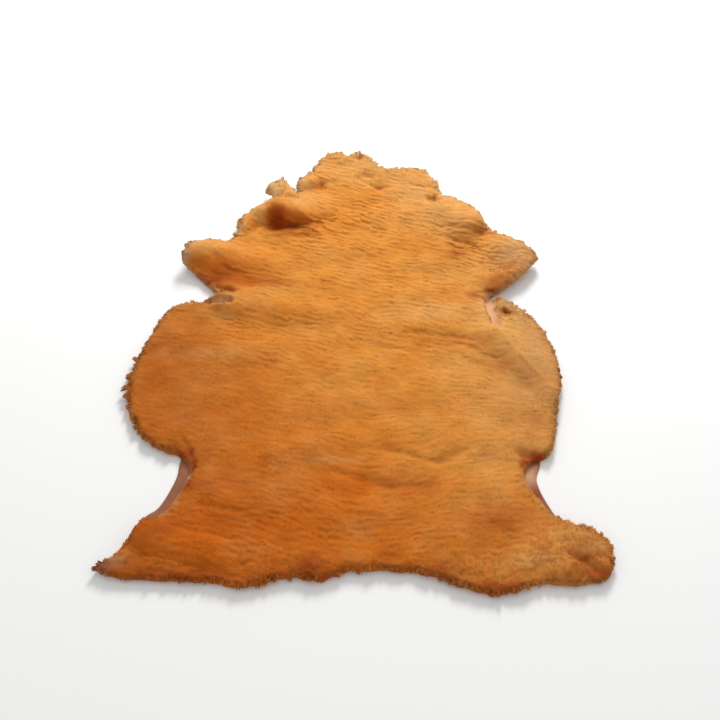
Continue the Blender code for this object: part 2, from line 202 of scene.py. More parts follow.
# The folds that the hide lies in, each a crest from its left end to its right one. bow is
# how far its middle lies off the straight line, rise is its height at each end, near, far
# and ends are its widths on its two sides and past its ends, and lean is how far the crest
# tips to the near side. Millimetres.
Fold = namedtuple("Fold", "name x0 y0 x1 y1 bow rise0 rise1 near far ends lean")
FOLDS = rows(Fold,
    ("left neck roll", -150, 314, -66, 322, -4, 29, 5, 22, 40, 24, 8),
    ("ear tab", -158, 374, -140, 380, 0, 22, 20, 34, 34, 12, 4),
    ("neck lip", -222, 268, -182, 308, 0, 8, 15, 13, 22, 14, 0),
    ("left neck lump", -104, 398, -90, 406, 0, 8, 6, 16, 24, 14, 0),
    ("neck crest", -50, 478, 20, 474, 4, 5, 3, 30, 30, 24, 0),
    ("neck scallops", 56, 436, 142, 420, 6, 4, 8, 32, 30, 20, 0),
    ("right neck roll", 130, 338, 232, 284, 12, 6, 24, 48, 46, 22, 7),
    ("left foreleg roll", -316, 204, -140, 176, 4, 29, 4, 38, 30, 26, 8),
    ("right foreleg roll", 262, 232, 322, 206, 0, 10, 18, 40, 26, 24, 6),
    ("right foreleg hem", 268, 118, 318, 164, 0, 12, 12, 22, 26, 20, 0),
    ("shoulder fold, left", -232, 66, -30, 54, 3, 17, 4, 32, 58, 20, 2),
    ("shoulder fold, right", -20, 38, 240, 2, 4, 3, 6, 26, 62, 20, 2),
    ("left lobe fold", -330, -34, -140, -38, 5, 4, 3, 38, 54, 24, 0),
    ("right lobe fold", 243, 2, 334, -144, -2, 10, 8, 20, 48, 18, 1),
    ("back wave", -100, -246, 210, -240, 12, 3, 5, 32, 45, 40, 0),
    ("loin wave", -70, -352, 150, -366, 0, 3, 3, 34, 45, 40, 0),
    ("left hind leg roll", -312, -408, -190, -448, 4, 10, 4, 22, 34, 28, 2),
    ("right hind leg roll", 250, -420, 345, -414, 8, 3, 6, 30, 28, 24, 0),
    ("right hind leg heel", 300, -464, 352, -466, 0, 3, 4, 12, 14, 14, 0),
)

# Places where the wool is pressed in, round, in millimetres.
Dimple = namedtuple("Dimple", "place across along radius depth")
DIMPLES = rows(Dimple,
    ("neck crest", 7, 484, 9, 6),
    ("neck, behind the crest", 23, 426, 14, 6),
    ("neck, middle", 49, 390, 16, 5),
    ("neck, right corner", 152, 350, 11, 7),
    ("under the left lump", -72, 396, 9, 8),
    ("beside the left lump", -48, 402, 9, 2),
    ("ear pocket", -152, 282, 19, 10),
    ("ear pocket, tail", -112, 278, 14, 3),
    ("right lobe, first hole", 259, 84, 4, 4),
    ("right lobe, second hole", 270, 50, 6, 5),
    ("right hind leg, crease", 330, -446, 12, 2),
    ("right hind leg, crease end", 356, -460, 8, 2),
    ("rump, right", 172, -474, 14, 3),
)

# The creases of the wool itself, each a soft trough, or a ridge where height is above 0.
Crease = namedtuple("Crease", "name x0 y0 x1 y1 bow width height")
CREASES = rows(Crease,
    ("shoulder, under the fold", 96, 0, 208, -18, 3, 9, -2.4),
    ("shoulder, running down", 184, -28, 240, -60, 0, 9, -2.4),
    ("shoulder, short", 52, -34, 90, -44, 0, 5, -2.0),
    ("right lobe, edge", 246, 0, 336, -142, 0, 5, 1.8),
    ("right lobe, trough", 214, -64, 306, -156, 0, 20, -2.0),
    ("left lobe, trough", -352, -46, -289, -14, 0, 9, -1.5),
    ("spine, upper", 26, -29, 34, -150, 0, 5, -0.9),
    ("spine, lower", 12, -118, 29, -150, 0, 5, -0.9),
    ("back, hollow", 190, -246, 134, -276, 0, 9, -2.6),
    ("back, left hollow", 48, -250, 126, -276, 2, 8, -2.8),
    ("loin, left trough", -38, -292, 50, -322, 0, 9, -2.6),
    ("loin, right trough", 50, -322, 124, -320, 0, 9, -2.4),
    ("rump, upper left", -236, -353, -174, -365, 0, 6, -1.8),
    ("rump, lower left", -262, -397, -185, -414, 0, 6, -1.8),
    ("right hind leg", 314, -432, 358, -472, 3, 6, -3.5),
    ("neck, upper dash", -50, 334, 32, 307, 4, 4, -1.4),
    ("neck, lower dash", -20, 267, 32, 256, 0, 4, -1.2),
    ("pocket, upper ridge", -115, 310, -64, 284, 4, 4, 2.8),
    ("pocket, lower ridge", -126, 284, -71, 255, 4, 4, 2.8),
    ("pocket, inner ridge", -146, 304, -112, 290, 0, 4, 3.4),
    ("ear tab", -146, 346, -139, 366, 2, 4, -4.5),
    ("ear tab, tuft", -156, 368, -159, 388, 0, 4, -3.5),
    ("ear tab, second tuft", -139, 376, -142, 394, 0, 3, -3.0),
    ("ear tab, root", -168, 346, -150, 340, 0, 4, -2.5),
    ("behind the crest", 5, 415, 49, 379, 0, 6, -2.5),
    ("behind the scallops", 121, 391, 161, 382, 0, 5, -2.5),
    ("scallop's end", 151, 355, 167, 346, 0, 5, -4.0),
    ("right roll, first", 174, 272, 227, 255, 4, 5, -2.2),
    ("right roll, second", 190, 238, 235, 211, 4, 5, -2.0),
    ("right roll, third", 175, 215, 231, 199, 4, 5, -1.4),
    ("left foreleg, wedge", -246, 108, -222, 92, 0, 5, -6.0),
    ("left foreleg, slope", -262, 186, -216, 142, 0, 8, -1.6),
    ("left flank", -274, -236, -252, -284, 0, 6, -4.0),
    ("right flank", 264, -258, 300, -268, 0, 8, -4.5),
)

# Slow swells of the wool's surface, each a sine wave along a bearing in degrees.
Swell = namedtuple("Swell", "length bearing phase height")
SWELLS = rows(Swell,
    (96, 78, 0.4, 0.9),
    (71, 104, 2.1, 0.8),
    (58, 36, 4.0, 0.6),
    (49, 152, 1.2, 0.6),
)

# Soft round zones where the crimp is higher than it commonly is, or lower where below 0, as a
# share of its full height.
Zone = namedtuple("Zone", "place across along reach_x reach_y amount")
CRIMP_ZONES = rows(Zone,
    ("neck, middle", 20, 320, 100, 90, 0.30),
    ("neck, left", -90, 270, 60, 40, 0.20),
    ("right neck roll", 205, 240, 46, 36, 0.60),
    ("chest", 40, 150, 220, 60, 0.06),
    ("right foreleg", 280, 170, 40, 45, 0.35),
    ("ear tab", -155, 375, 26, 26, -0.30),
    ("left neck roll", -130, 318, 50, 16, -0.20),
    ("left foreleg", -280, 190, 40, 30, -0.22),
    ("back, right", 120, -220, 160, 120, -0.08),
    ("rump", -140, -400, 160, 60, 0.08),
    ("left lobe", -320, -90, 100, 140, -0.22),
    ("right lobe", 300, -60, 60, 120, -0.18),
    ("left flank", -190, -250, 140, 110, -0.14),
    ("right flank", 220, -300, 120, 90, -0.10),
    ("back, middle", 20, -130, 200, 90, -0.08),
)

# Where the wool is loose and curly and not smooth.
FLUFF_ZONES = rows(Zone,
    ("right hind leg", 335, -435, 60, 50, 1.4),
    ("rump, right", 190, -470, 90, 36, 0.8),
    ("rump, left", -140, -462, 90, 26, 0.9),
    ("tail", 20, -452, 100, 20, 0.6),
    ("left hind leg", -280, -450, 70, 30, 0.35),
    ("ear tab", -155, 380, 30, 30, 0.75),
    ("left neck lump", -92, 398, 26, 20, 0.6),
    ("neck crest", -10, 478, 60, 24, 0.45),
    ("behind the crest", 40, 420, 50, 30, 0.25),
    ("neck scallops", 100, 436, 60, 22, 0.25),
    ("neck lip", -212, 296, 20, 34, 0.6),
    ("right foreleg", 278, 160, 36, 40, 0.7),
    ("right lobe, root", 276, 50, 26, 36, 0.8),
)

# Soft round stains, and painted light and shade. deep: the dye took more, and in places it is
# painted warm shade. pale_and_lit: faded wool, and painted light where the wool faces the lamp.
# shade_and_brown: mostly painted shade, with a few dark tufts. dusty: the cut fibre ends are
# grey. bare: the skin shows through.
Stain = namedtuple("Stain", "across along reach_x reach_y amount")
STAINS = {
    # Deeper dyed wool, and painted warm shade in the ear pocket, at the right roll's end, under the
    # left neck lump and on the left foreleg.
    "deep": rows(Stain,
        (-200, -400, 230, 150, 0.85), (60, -430, 220, 90, 0.5), (-120, -240, 160, 120, 0.5),
        (-190, -90, 120, 120, 0.3), (-330, -90, 90, 170, 0.45), (60, -310, 110, 22, 0.5),
        (-250, 156, 60, 36, 0.75), (250, -440, 70, 40, 0.35), (-88, 390, 26, 9, 0.85),
        (222, 262, 44, 16, 0.7), (-118, 288, 60, 24, 0.6), (-175, 124, 60, 18, 0.6),
        (230, -365, 70, 30, 0.55), (20, -395, 130, 60, 0.22), (-260, -436, 90, 30, 0.4),
        (340, -432, 40, 14, 0.5), (300, -128, 30, 30, 0.3), (-265, -195, 60, 30, 0.35),
        (240, -75, 34, 30, 0.45), (285, -205, 30, 40, 0.35), (-215, -312, 50, 14, 0.45),
        (-335, -385, 30, 24, 0.5), (-240, -262, 22, 22, 0.5), (0, -395, 80, 30, 0.24),
        (350, -450, 40, 24, 0.45), (130, 45, 110, 16, 0.25), (190, 282, 40, 18, 0.35),
        (0, 432, 40, 20, 0.3), (0, -330, 90, 40, 0.5),
    ),
    # Faded wool, and painted light on crests, on the neck and on edges and slopes that face the lamp.
    "pale_and_lit": rows(Stain,
        (320, -90, 76, 160, 0.75), (230, -130, 90, 200, 0.38), (190, 320, 80, 60, 0.6),
        (40, 455, 150, 60, 0.62), (300, 200, 50, 46, 0.55), (200, 150, 90, 50, 0.25),
        (345, -415, 46, 36, 0.5), (-282, 214, 40, 14, 0.45), (-160, 380, 34, 30, 0.8),
        (-106, 400, 16, 14, 0.6), (-216, 304, 16, 18, 0.6), (-347, -446, 18, 12, 0.9),
        (-264, -306, 7, 12, 0.7), (-276, -338, 8, 20, 0.7), (-294, -366, 10, 12, 0.7),
        (318, -480, 44, 5, 0.25), (240, 60, 22, 44, 0.95), (258, 8, 9, 24, 0.85),
        (-246, 74, 36, 11, 0.95), (288, 40, 28, 46, 0.85), (270, -312, 8, 16, 0.75),
        (288, -346, 10, 18, 0.7), (306, -370, 12, 12, 0.7), (150, 46, 100, 24, 0.6),
        (130, 300, 70, 50, 0.3), (-108, 388, 12, 20, 0.7), (205, 262, 50, 22, 0.45),
        (-290, 204, 34, 16, 0.45), (300, 214, 40, 20, 0.4), (-184, 306, 14, 18, 0.85),
        (-118, 328, 22, 9, 0.55), (-250, -50, 96, 15, 0.4), (-40, -268, 56, 10, 0.3),
        (-236, 42, 18, 14, 0.4), (250, -446, 48, 20, 0.45), (110, 380, 60, 60, 0.5),
        (-110, 350, 60, 30, 0.5), (326, 166, 16, 15, 0.6),
    ),
    # Painted shade in the ear pocket, the armpits, dimples and creases, under folds and rolls, by the
    # flanks' cut edges and over the left side; and a few dark tufts at the rim.
    "shade_and_brown": rows(Stain,
        (-153, 284, 15, 18, 0.9), (-140, 272, 22, 13, 0.8), (-149, 306, 13, 13, 0.8),
        (-124, 284, 24, 16, 0.72), (-96, 274, 24, 10, 0.45), (-116, 250, 38, 9, 0.7),
        (-72, 394, 14, 8, 0.62), (-88, 386, 14, 6, 0.4), (158, -17, 60, 12, 0.34),
        (254, -72, 40, 22, 0.36), (238, -366, 50, 22, 0.16), (125, -462, 50, 14, 0.62),
        (-60, -444, 34, 16, 0.22), (-330, -446, 30, 14, 0.35), (95, -318, 50, 12, 0.16),
        (-235, -318, 44, 18, 0.28), (-268, 128, 26, 12, 0.55), (165, 204, 40, 10, 0.22),
        (-228, 102, 15, 8, 0.4), (-175, 126, 50, 12, 0.2), (-264, 144, 46, 24, 0.4),
        (-230, 92, 13, 10, 0.99), (-239, 56, 7, 6, 0.35), (-250, 132, 26, 14, 0.35),
        (-340, -60, 120, 200, 0.4), (-240, -330, 190, 200, 0.14), (290, -110, 30, 24, 0.25),
        (270, -190, 50, 50, 0.16), (-132, 345, 16, 9, 0.65), (-176, 116, 58, 13, 0.42),
        (-330, -460, 60, 8, 0.34), (192, 200, 22, 14, 0.6), (287, 162, 18, 14, 0.5),
        (218, 90, 16, 11, 0.62), (-195, -108, 60, 18, 0.14), (-292, -396, 34, 20, 0.44),
        (225, -384, 36, 20, 0.22), (-62, -458, 26, 13, 0.68), (-280, 18, 24, 16, 0.2),
        (80, -172, 80, 16, 0.26), (-30, -150, 100, 14, 0.14), (118, -270, 30, 9, 0.3),
        (96, -330, 40, 14, 0.2), (-150, -318, 40, 16, 0.16), (205, -388, 56, 24, 0.38),
        (-376, -452, 22, 16, 0.72), (-170, 150, 110, 80, 0.1), (340, -120, 70, 200, 0.2),
        (330, 170, 60, 60, 0.08), (-180, -384, 60, 20, 0.24), (-238, -105, 50, 16, 0.18),
        (-262, -190, 60, 20, 0.2), (-290, -245, 12, 9, 0.45), (310, -472, 30, 9, 0.3),
        (205, -486, 44, 9, 0.36), (345, -412, 24, 14, 0.24), (-236, -266, 18, 14, 0.34),
        (264, 120, 26, 14, 0.6), (248, 103, 15, 7, 0.95), (238, 260, 14, 13, 0.62),
        (259, 86, 4, 4, 0.95), (266, 53, 6, 6, 0.97), (275, 47, 5, 4, 0.9), (286, -266, 17, 11, 0.99),
        (268, -276, 6, 16, 0.8), (294, -264, 10, 9, 0.9), (-274, -256, 10, 12, 0.99),
        (-261, -256, 6, 12, 0.97), (-254, -276, 4, 12, 0.97), (-259, -319, 5, 5, 0.7),
        (-261, -310, 3, 3, 0.95), (-338, -450, 8, 7, 0.7), (-270, -474, 90, 10, 0.65),
        (0, -476, 120, 14, 0.65), (200, -494, 100, 14, 0.6), (342, -446, 16, 8, 0.6),
        (360, -470, 22, 9, 0.6), (336, -462, 26, 10, 0.4), (50, 390, 12, 7, 0.75), (268, 50, 8, 8, 0.9),
        (258, 76, 4, 4, 0.8), (8, 482, 8, 7, 0.8), (26, 428, 14, 6, 0.55), (157, 359, 8, 8, 0.85),
    ),
    "dusty": rows(Stain,
        (-377, -454, 26, 14, 0.6), (278, 70, 20, 14, 0.5), (296, 190, 28, 26, 0.35),
        (-178, 388, 26, 20, 0.45), (-318, 188, 14, 18, 0.7), (320, -10, 30, 90, 0.2),
        (-377, -454, 20, 12, 0.95), (-306, -366, 14, 10, 0.8),
    ),
    "bare": rows(Stain,
        (312, 158, 24, 5, 0.55),
    ),
}

# How a kind of stain gathers at the rim: most is its largest share, at the edge itself, and
# it fades as a bell over reach. It is multiplied by middle at the hide's middle, and by slope
# more for each metre towards the neck, kept from 0 to 1. For pale_and_lit this is painted light
# along the far rim, which faces the lamp, and for shade_and_brown painted shade along the near rim.
RimStain = namedtuple("RimStain", "most reach middle slope")
RIM_STAINS = {
    "pale_and_lit": RimStain(0.60, 10.0, 0.2, 2.0),
    "shade_and_brown": RimStain(0.28, 11.0, 0.5, -1.6),
    "dusty": RimStain(0.60, 6.5, 0.5, 1.3),
}

# How much of the dye's drift each kind of stain takes.
DYE_DRIFT = {"deep": 0.6, "pale_and_lit": -0.4, "shade_and_brown": 0.2, "dusty": -0.2}

# Where no wool grows inside the outline: strips that taper from half0 to half1, and fade
# into the full wool.
Bare = namedtuple("Bare", "place x0 y0 x1 y1 half0 half1 fade")
BARES = rows(Bare,
    ("left armpit", -282, 80, -224, 68, 3, 2, 6),
    ("right armpit", 243, 78, 249, 16, 5, 0, 10),
    ("left flank, top", -268, -268, -270, -290, 2, 10, 5),
    ("left flank, bottom", -271, -290, -312, -360, 9, 8, 14),
    ("right flank, top", 283, -288, 281, -304, 7, 10, 6),
    ("right flank, bottom", 284, -304, 310, -364, 7, 2, 12),
)

# Colours of the skin: pale_and_lit is thin and paler skin, and in places painted light, and
# shade_and_brown is painted shade in the creases and under the wool's cut edges, and the dark
# tip of the left hind leg.
SKIN_STAINS = {
    "pale_and_lit": rows(Stain,
        (276, -296, 16, 22, 0.75), (250, 70, 30, 40, 0.9), (-250, 96, 40, 20, 0.4),
    ),
    "shade_and_brown": rows(Stain,
        (284, -266, 26, 9, 0.7), (286, -326, 14, 18, 0.75), (-272, -248, 20, 9, 0.7),
        (-376, -452, 22, 16, 0.72), (250, 98, 16, 10, 0.5), (-252, 104, 14, 8, 0.5),
    ),
}


# Noises over the flat hide: the two sides of a cell, and a key of its own, which isn't 2, 3,
# 4, 6 or 7, because those are the crimp's.
Noise = namedtuple("Noise", "cell_x cell_y key")
NOISES = {
    "crimps wander": Noise(60, 40, 1),
    "curls": Noise(15, 13, 5),
    "fibres": Noise(4.6, 3.6, 8),
    "small curls": Noise(8, 7, 9),
    "dye drifts": Noise(55, 40, 11),
    "dye drifts closely": Noise(17, 9, 12),
    "stains stray across": Noise(11, 9, 13),
    "stains stray along": Noise(11, 9, 14),
    "edge of bare skin": Noise(5, 5, 15),
    "ragged edge": Noise(9, 9, 16),
    "finely ragged edge": Noise(5, 5, 17),
    "lumps of the edge": Noise(9, 9, 18),
    "nap wanders": Noise(30, 22, 41),
    "curls turn the nap": Noise(7, 7, 42),
}


def linear(code):
    """A colour's sRGB hex code as linear red, green and blue."""
    values = np.array([int(code[i:i + 2], 16) for i in (1, 3, 5)]) / 255.0
    return tuple(np.where(values <= 0.04045, values / 12.92, ((values + 0.055) / 1.055) ** 2.4))


def length_property(name, description, default_mm):
    """A length that a user can change, with its default in millimetres."""
    return FloatProperty(
        name=name, description=description, default=default_mm * MM, unit="LENGTH")


def colour_property(name, description, code):
    """A colour that a user can change, with its default as an sRGB hex code."""
    return FloatVectorProperty(
        name=name, description=description, default=linear(code), subtype="COLOR", min=0.0, max=1.0)


class SheepskinSizes(bpy.types.PropertyGroup):
    skin: length_property("Skin", "Thickness of the tanned skin", 2.0)
    wool: length_property("Wool", "Height of the shorn wool above the skin", 11.0)
    rim_round: length_property(
        "Rim rounding", "How far in from its edge the wool has its full height", 10.0)
    crimp_spacing: length_property("Crimp spacing", "From one crimp of the wool to the next", 11.5)
    crimp_length: length_property("Crimp length", "How long a crimp runs across the hide", 15.0)
    crimp_height: length_property("Crimp height", "How far a crimp stands up", 1.45)
    end_spacing: length_property("End spacing", "From one end of wool to the next over the coat", 2.6)
    end_length: length_property("End length", "How long an end of wool lies along the coat", 6.0)
    end_width: length_property("End width", "How thick an end of wool is at its root", 2.0)


class SheepskinColours(bpy.types.PropertyGroup):
    golden: colour_property("Golden wool", "The dyed wool over most of the hide", "#DB8D36")
    # Deeper dyed wool, and also painted warm shade in hollows and on slopes away from the lamp.
    deep: colour_property("Deep wool", "The wool where the dye took deeper", "#C66008")
    # Faded wool, and also painted light on parts that face the lamp.
    pale_and_lit: colour_property("Sunned wool", "The wool where the dye has faded", "#DCA45E")
    # Painted shade, and a few dark tufts.
    shade_and_brown: colour_property("Brown wool", "The wool where the dye pooled", "#8E2F02")
    dusty: colour_property("Dusty wool", "The greyish cut ends of the fibres", "#BDA581")
    tips: colour_property("Cut tips", "The cut ends of the fibres, where the dye is thin", "#EDB870")
    bare_skin: colour_property("Bare skin", "The skin's wool side where nothing grows", "#A26646")
    thin_skin: colour_property("Thin skin", "The paler skin of the armpits", "#E2B086")
    flesh_side: colour_property("Flesh side", "The skin's buffed underside", "#C9A283")


class SheepskinStage(bpy.types.PropertyGroup):
    camera_distance: FloatProperty(
        name="Camera distance", description="From the camera to the point that it aims at",
        default=1.75, unit="LENGTH")
    camera_elevation: FloatProperty(
        name="Camera elevation", description="How far above the floor's plane the camera looks from",
        default=float(np.radians(50.0)), subtype="ANGLE")
    key_power: FloatProperty(
        name="Key light", description="Power of the large soft lamp behind the neck",
        default=64.0, unit="POWER")
    sky: FloatProperty(
        name="Fill", description="Strength of the even light from all around", default=0.62)


def columns(table, *names):
    """Each named column of a table as an array."""
    return [np.array([getattr(row, name) for row in table], float) for name in names]


def eased(t):
    """0 below 0, 1 above 1, and a smooth step between them."""
    t = np.clip(t, 0.0, 1.0)
    return t * t * (3.0 - 2.0 * t)


def noise(x, y, cell_x, cell_y, key, tile=512):
    """Smooth random heights from -1 to 1 over a lattice of cells.

    Each corner of the lattice has one random value, and inside a cell the four corners are
    blended with a smooth step along each side.
    """
    corners = np.random.default_rng([SEED, key]).uniform(-1.0, 1.0, (tile, tile))
    u = x / cell_x + 0.37 * key
    v = y / cell_y + 0.61 * key
    i = np.floor(u).astype(int)
    j = np.floor(v).astype(int)
    s = eased(u - i)
    t = eased(v - j)
    i0, i1, j0, j1 = i % tile, (i + 1) % tile, j % tile, (j + 1) % tile
    low = corners[i0, j0] * (1.0 - s) + corners[i1, j0] * s
    high = corners[i0, j1] * (1.0 - s) + corners[i1, j1] * s
    return low * (1.0 - t) + high * t


def rough(x, y, name):
    """The noise of that name, from -1 to 1."""
    cell_x, cell_y, key = NOISES[name]
    return noise(x, y, cell_x * MM, cell_y * MM, key)


def held(t):
    """0 well below 0, 1 well above 1 and t between them, with a rounded corner at each."""
    return 0.5 * (1.0 + np.hypot(t, 0.08) - np.hypot(t - 1.0, 0.08))


def line_place(x, y, row):
    """Where points lie along a table's line: the share of its length, the distance past its
    ends, and the distance off it to the left, with its bow taken away."""
    run_x = (row.x1 - row.x0) * MM
    run_y = (row.y1 - row.y0) * MM
    length = np.hypot(run_x, run_y)
    ux, uy = run_x / length, run_y / length
    from_x = x - row.x0 * MM
    from_y = y - row.y0 * MM
    along = from_x * ux + from_y * uy
    t = held(along / length)
    off = from_y * ux - from_x * uy - row.bow * MM * 4.0 * t * (1.0 - t)
    return t, along - t * length, off, (ux, uy)


def lift(x, y):
    """Where the folds put a point of the flat hide: its two shifts and its height.

    Across its crest a fold is a bell, with one width on each side. Along it the height runs
    from one end's to the other's, and past an end it falls away as another bell.
    """
    shift_x, shift_y, height = np.zeros((3, *x.shape))
    for fold in FOLDS:
        t, past, off, (ux, uy) = line_place(x, y, fold)
        width = np.where(off > 0.0, fold.far, fold.near) * MM
        bell = np.exp(-((off / width) ** 2) - (past / (fold.ends * MM)) ** 2)
        height += (fold.rise0 + (fold.rise1 - fold.rise0) * t) * MM * bell
        shift_x += fold.lean * MM * bell * uy
        shift_y -= fold.lean * MM * bell * ux
    above = height - FLOOR_TRIM
    return shift_x, shift_y, 0.5 * (above + np.hypot(above, FLOOR_SOFTNESS))


def laid(x, y, up):
    """The place of a point `up` above the skin's underside, square to the laid hide."""
    step = 0.5 * MM

    def under(px, py):
        shift_x, shift_y, height = lift(px, py)
        return np.stack([px + shift_x, py + shift_y, height], axis=-1)

    here = under(x, y)
    to_right = under(x + step, y) - under(x - step, y)
    to_neck = under(x, y + step) - under(x, y - step)
    square = np.cross(to_right, to_neck)
    square /= np.linalg.norm(square, axis=-1, keepdims=True)
    moved = here + square * np.asarray(up)[..., None]
    return moved + np.array([TO_CENTRE[0], TO_CENTRE[1], 0.0]) * MM


def round_bell(x, y, row):
    """1 at the middle of a table's round place, fading as a bell over its two reaches."""
    off_x = (x - row.across * MM) / (row.reach_x * MM)
    off_y = (y - row.along * MM) / (row.reach_y * MM)
    return np.exp(-(off_x**2) - off_y**2)


def zones(x, y, table):
    """The sum of a table's soft round zones."""
    return sum(zone.amount * round_bell(x, y, zone) for zone in table)


def wool_height(x, y, wool):
    """The wool's own height before its edge is rounded: swells, dimples and creases."""
    height = np.full_like(x, wool)
    for wave in SWELLS:
        bearing = np.radians(wave.bearing)
        run = x * np.cos(bearing) + y * np.sin(bearing)
        height += wave.height * MM * np.sin(2.0 * np.pi * run / (wave.length * MM) + wave.phase)
    for dimple in DIMPLES:
        away = np.hypot(x - dimple.across * MM, y - dimple.along * MM)
        height -= dimple.depth * MM * np.exp(-((away / (dimple.radius * MM)) ** 2))
    for crease in CREASES:
        t, past, off, _ = line_place(x, y, crease)
        bell = np.exp(-((off / (crease.width * MM)) ** 2) - (past / CREASE_END) ** 2)
        height += crease.height * MM * bell
    return np.maximum(height, LEAST_WOOL * wool)


def crimp(x, y, sizes):
    """The crimp's height: waves that run across the hide, each broken into short dashes.

    Two sines along the hide, each with a phase that wanders, take turns from patch to patch,
    so that a wave ends where the other takes over. Noise roughens them, and where the wool
    is fluffy it makes curls of them. The waves run down to the right, most at the neck, and
    lie level at the right of the rump.
    """
    length, spacing = sizes.crimp_length, sizes.crimp_spacing
    fall = 0.26 + 0.08 * eased((y - 0.10) / 0.12)
    fall = fall - 0.34 * eased((-0.10 - y) / 0.12) * eased(x / 0.12 + 0.2)
    slant = y + fall * x + 5.0 * MM * rough(x, y, "crimps wander")

    def patches(lengths, spacings, key):
        return noise(x, slant, lengths * length, spacings * spacing, key)

    turn = 2.0 * np.pi * slant / spacing
    one = np.sin(turn + 2.2 * patches(1.0, 1.4, 2))
    other = np.sin(0.87 * turn + 2.2 * patches(1.1, 1.2, 3))
    share = eased(0.5 + 1.6 * patches(0.9, 0.9, 4))
    broken = np.clip(0.46 + 0.72 * patches(0.9, 0.9, 6), 0.0, 1.0)
    waves = (one * share + other * (1.0 - share)) * broken + 0.60 * patches(0.7, 0.42, 7)
    fluff = fluffiness(x, y)
    strength = np.clip(0.30 + zones(x, y, CRIMP_ZONES), 0.08, 1.2) * (1.0 - 0.6 * fluff)
    curls = rough(x, y, "curls") + 0.55 * rough(x, y, "small curls")
    fibres = rough(x, y, "fibres")
    return sizes.crimp_height * (strength * waves + 0.10 * fibres + (0.08 + 0.95 * fluff) * curls)


def fluffiness(x, y):
    """0 where the wool is smooth and 1 where it is loose and curly."""
    return np.clip(zones(x, y, FLUFF_ZONES), 0.0, 1.0)


def rim_curve(step, inset):
    """The outline as a closed smooth curve through the landmarks, cut into equal steps.

    Between two landmarks it is a cubic with Catmull-Rom tangents, moved in by `inset` times
    the landmarks' bare width. Returned: points, outward directions and longest locks.
    """
    knots = np.stack(columns(OUTLINE, "across", "along", "lock", "bare"), axis=1)
    before, after, second = (np.roll(knots, shift, axis=0) for shift in (1, -1, -2))
    t = np.linspace(0.0, 1.0, 24, endpoint=False)[:, None, None]
    curve = 0.5 * (
        2.0 * knots
        + (after - before) * t
        + (2.0 * before - 5.0 * knots + 4.0 * after - second) * t**2
        + (3.0 * knots - before - 3.0 * after + second) * t**3
    )
    curve = curve.transpose(1, 0, 2).reshape(-1, knots.shape[1])
    outward = outward_of(curve[:, :2])
    curve[:, :2] -= outward * (inset * np.maximum(curve[:, 3:], 0.0))
    points = equal_steps(curve, step)
    return points[:, :2] * MM, outward_of(points[:, :2]), np.maximum(points[:, 2], 1.0) * MM


def outward_of(points):
    """The outward directions of a clockwise ring, each over three steps either side."""
    tangent = np.roll(points, -1, axis=0) - np.roll(points, 1, axis=0)
    tangent = sum(np.roll(tangent, shift, axis=0) for shift in (-2, -1, 0, 1, 2))
    outward = np.stack([-tangent[:, 1], tangent[:, 0]], axis=1)
    return outward / np.linalg.norm(outward, axis=1, keepdims=True)


def equal_steps(curve, step):
    """A closed curve's columns at equal steps along it; its first two columns are places."""
    closed = np.vstack([curve, curve[:1]])
    run = np.hypot(*np.diff(closed[:, :2], axis=0).T)
    travelled = np.concatenate([[0.0], np.cumsum(run)])
    count = int(round(travelled[-1] * MM / step))
    at = np.arange(count) / count * travelled[-1]
    return np.stack([np.interp(at, travelled, column) for column in closed.T], axis=1)


def inside_field(ring, pitch=3.0 * MM):
    """A function that gives how far points lie inside a ring, below 0 outside it.

    The distance to the nearest side of the ring is worked out on a lattice, with its sign
    from the sides that a ray crosses, and blended between the lattice's corners.
    """
    low = ring.min(axis=0) - 12.0 * pitch
    size = np.ceil((ring.max(axis=0) - low) / pitch).astype(int) + 12
    grid_x = low[0] + np.arange(size[0]) * pitch
    grid_y = low[1] + np.arange(size[1]) * pitch
    run = np.roll(ring, -1, axis=0) - ring
    square = (run**2).sum(axis=1)
    field = np.empty(size)
    slope = run[:, 0] / np.where(run[:, 1] == 0.0, 1e-12, run[:, 1])
    for column in range(size[0]):
        to_x = grid_x[column] - ring[:, 0]
        to_y = grid_y[:, None] - ring[:, 1]
        t = np.clip((to_x * run[:, 0] + to_y * run[:, 1]) / square, 0.0, 1.0)
        away = np.hypot(to_x - t * run[:, 0], to_y - t * run[:, 1]).min(axis=1)
        crosses = (to_y < 0.0) != (to_y - run[:, 1] < 0.0)
        sees = crosses & (to_x < to_y * slope)
        field[column] = np.where(sees.sum(axis=1) % 2 == 1, away, -away)

    def inside(x, y):
        u = np.clip((x - low[0]) / pitch, 0.0, size[0] - 1.001)
        v = np.clip((y - low[1]) / pitch, 0.0, size[1] - 1.001)
        i, j = u.astype(int), v.astype(int)
        s, t = u - i, v - j
        below = field[i, j] * (1.0 - s) + field[i + 1, j] * s
        above = field[i, j + 1] * (1.0 - s) + field[i + 1, j + 1] * s
        return below * (1.0 - t) + above * t

    return inside


@lru_cache(maxsize=None)
def wool_edge():
    """The wool's edge as a ring, its outward directions and longest locks, and how far
    inside it points lie."""
    ring, outward, lock = rim_curve(WOOL_STEP, 1.0)
    ragged = rough(*ring.T, "ragged edge") + 0.5 * rough(*ring.T, "finely ragged edge")
    ring = ring + outward * (RAGGED_EDGE * lock * ragged)[:, None]
    return ring, outward, lock, inside_field(ring)


def offset_rings(ring, outward, inside, depths):
    """Copies of a ring moved in by each depth, without the points that come too near it."""
    kept = []
    for depth in depths:
        moved = ring - outward * depth
        kept.append(moved[inside(*moved.T) > 0.93 * depth])
    return np.vstack(kept)


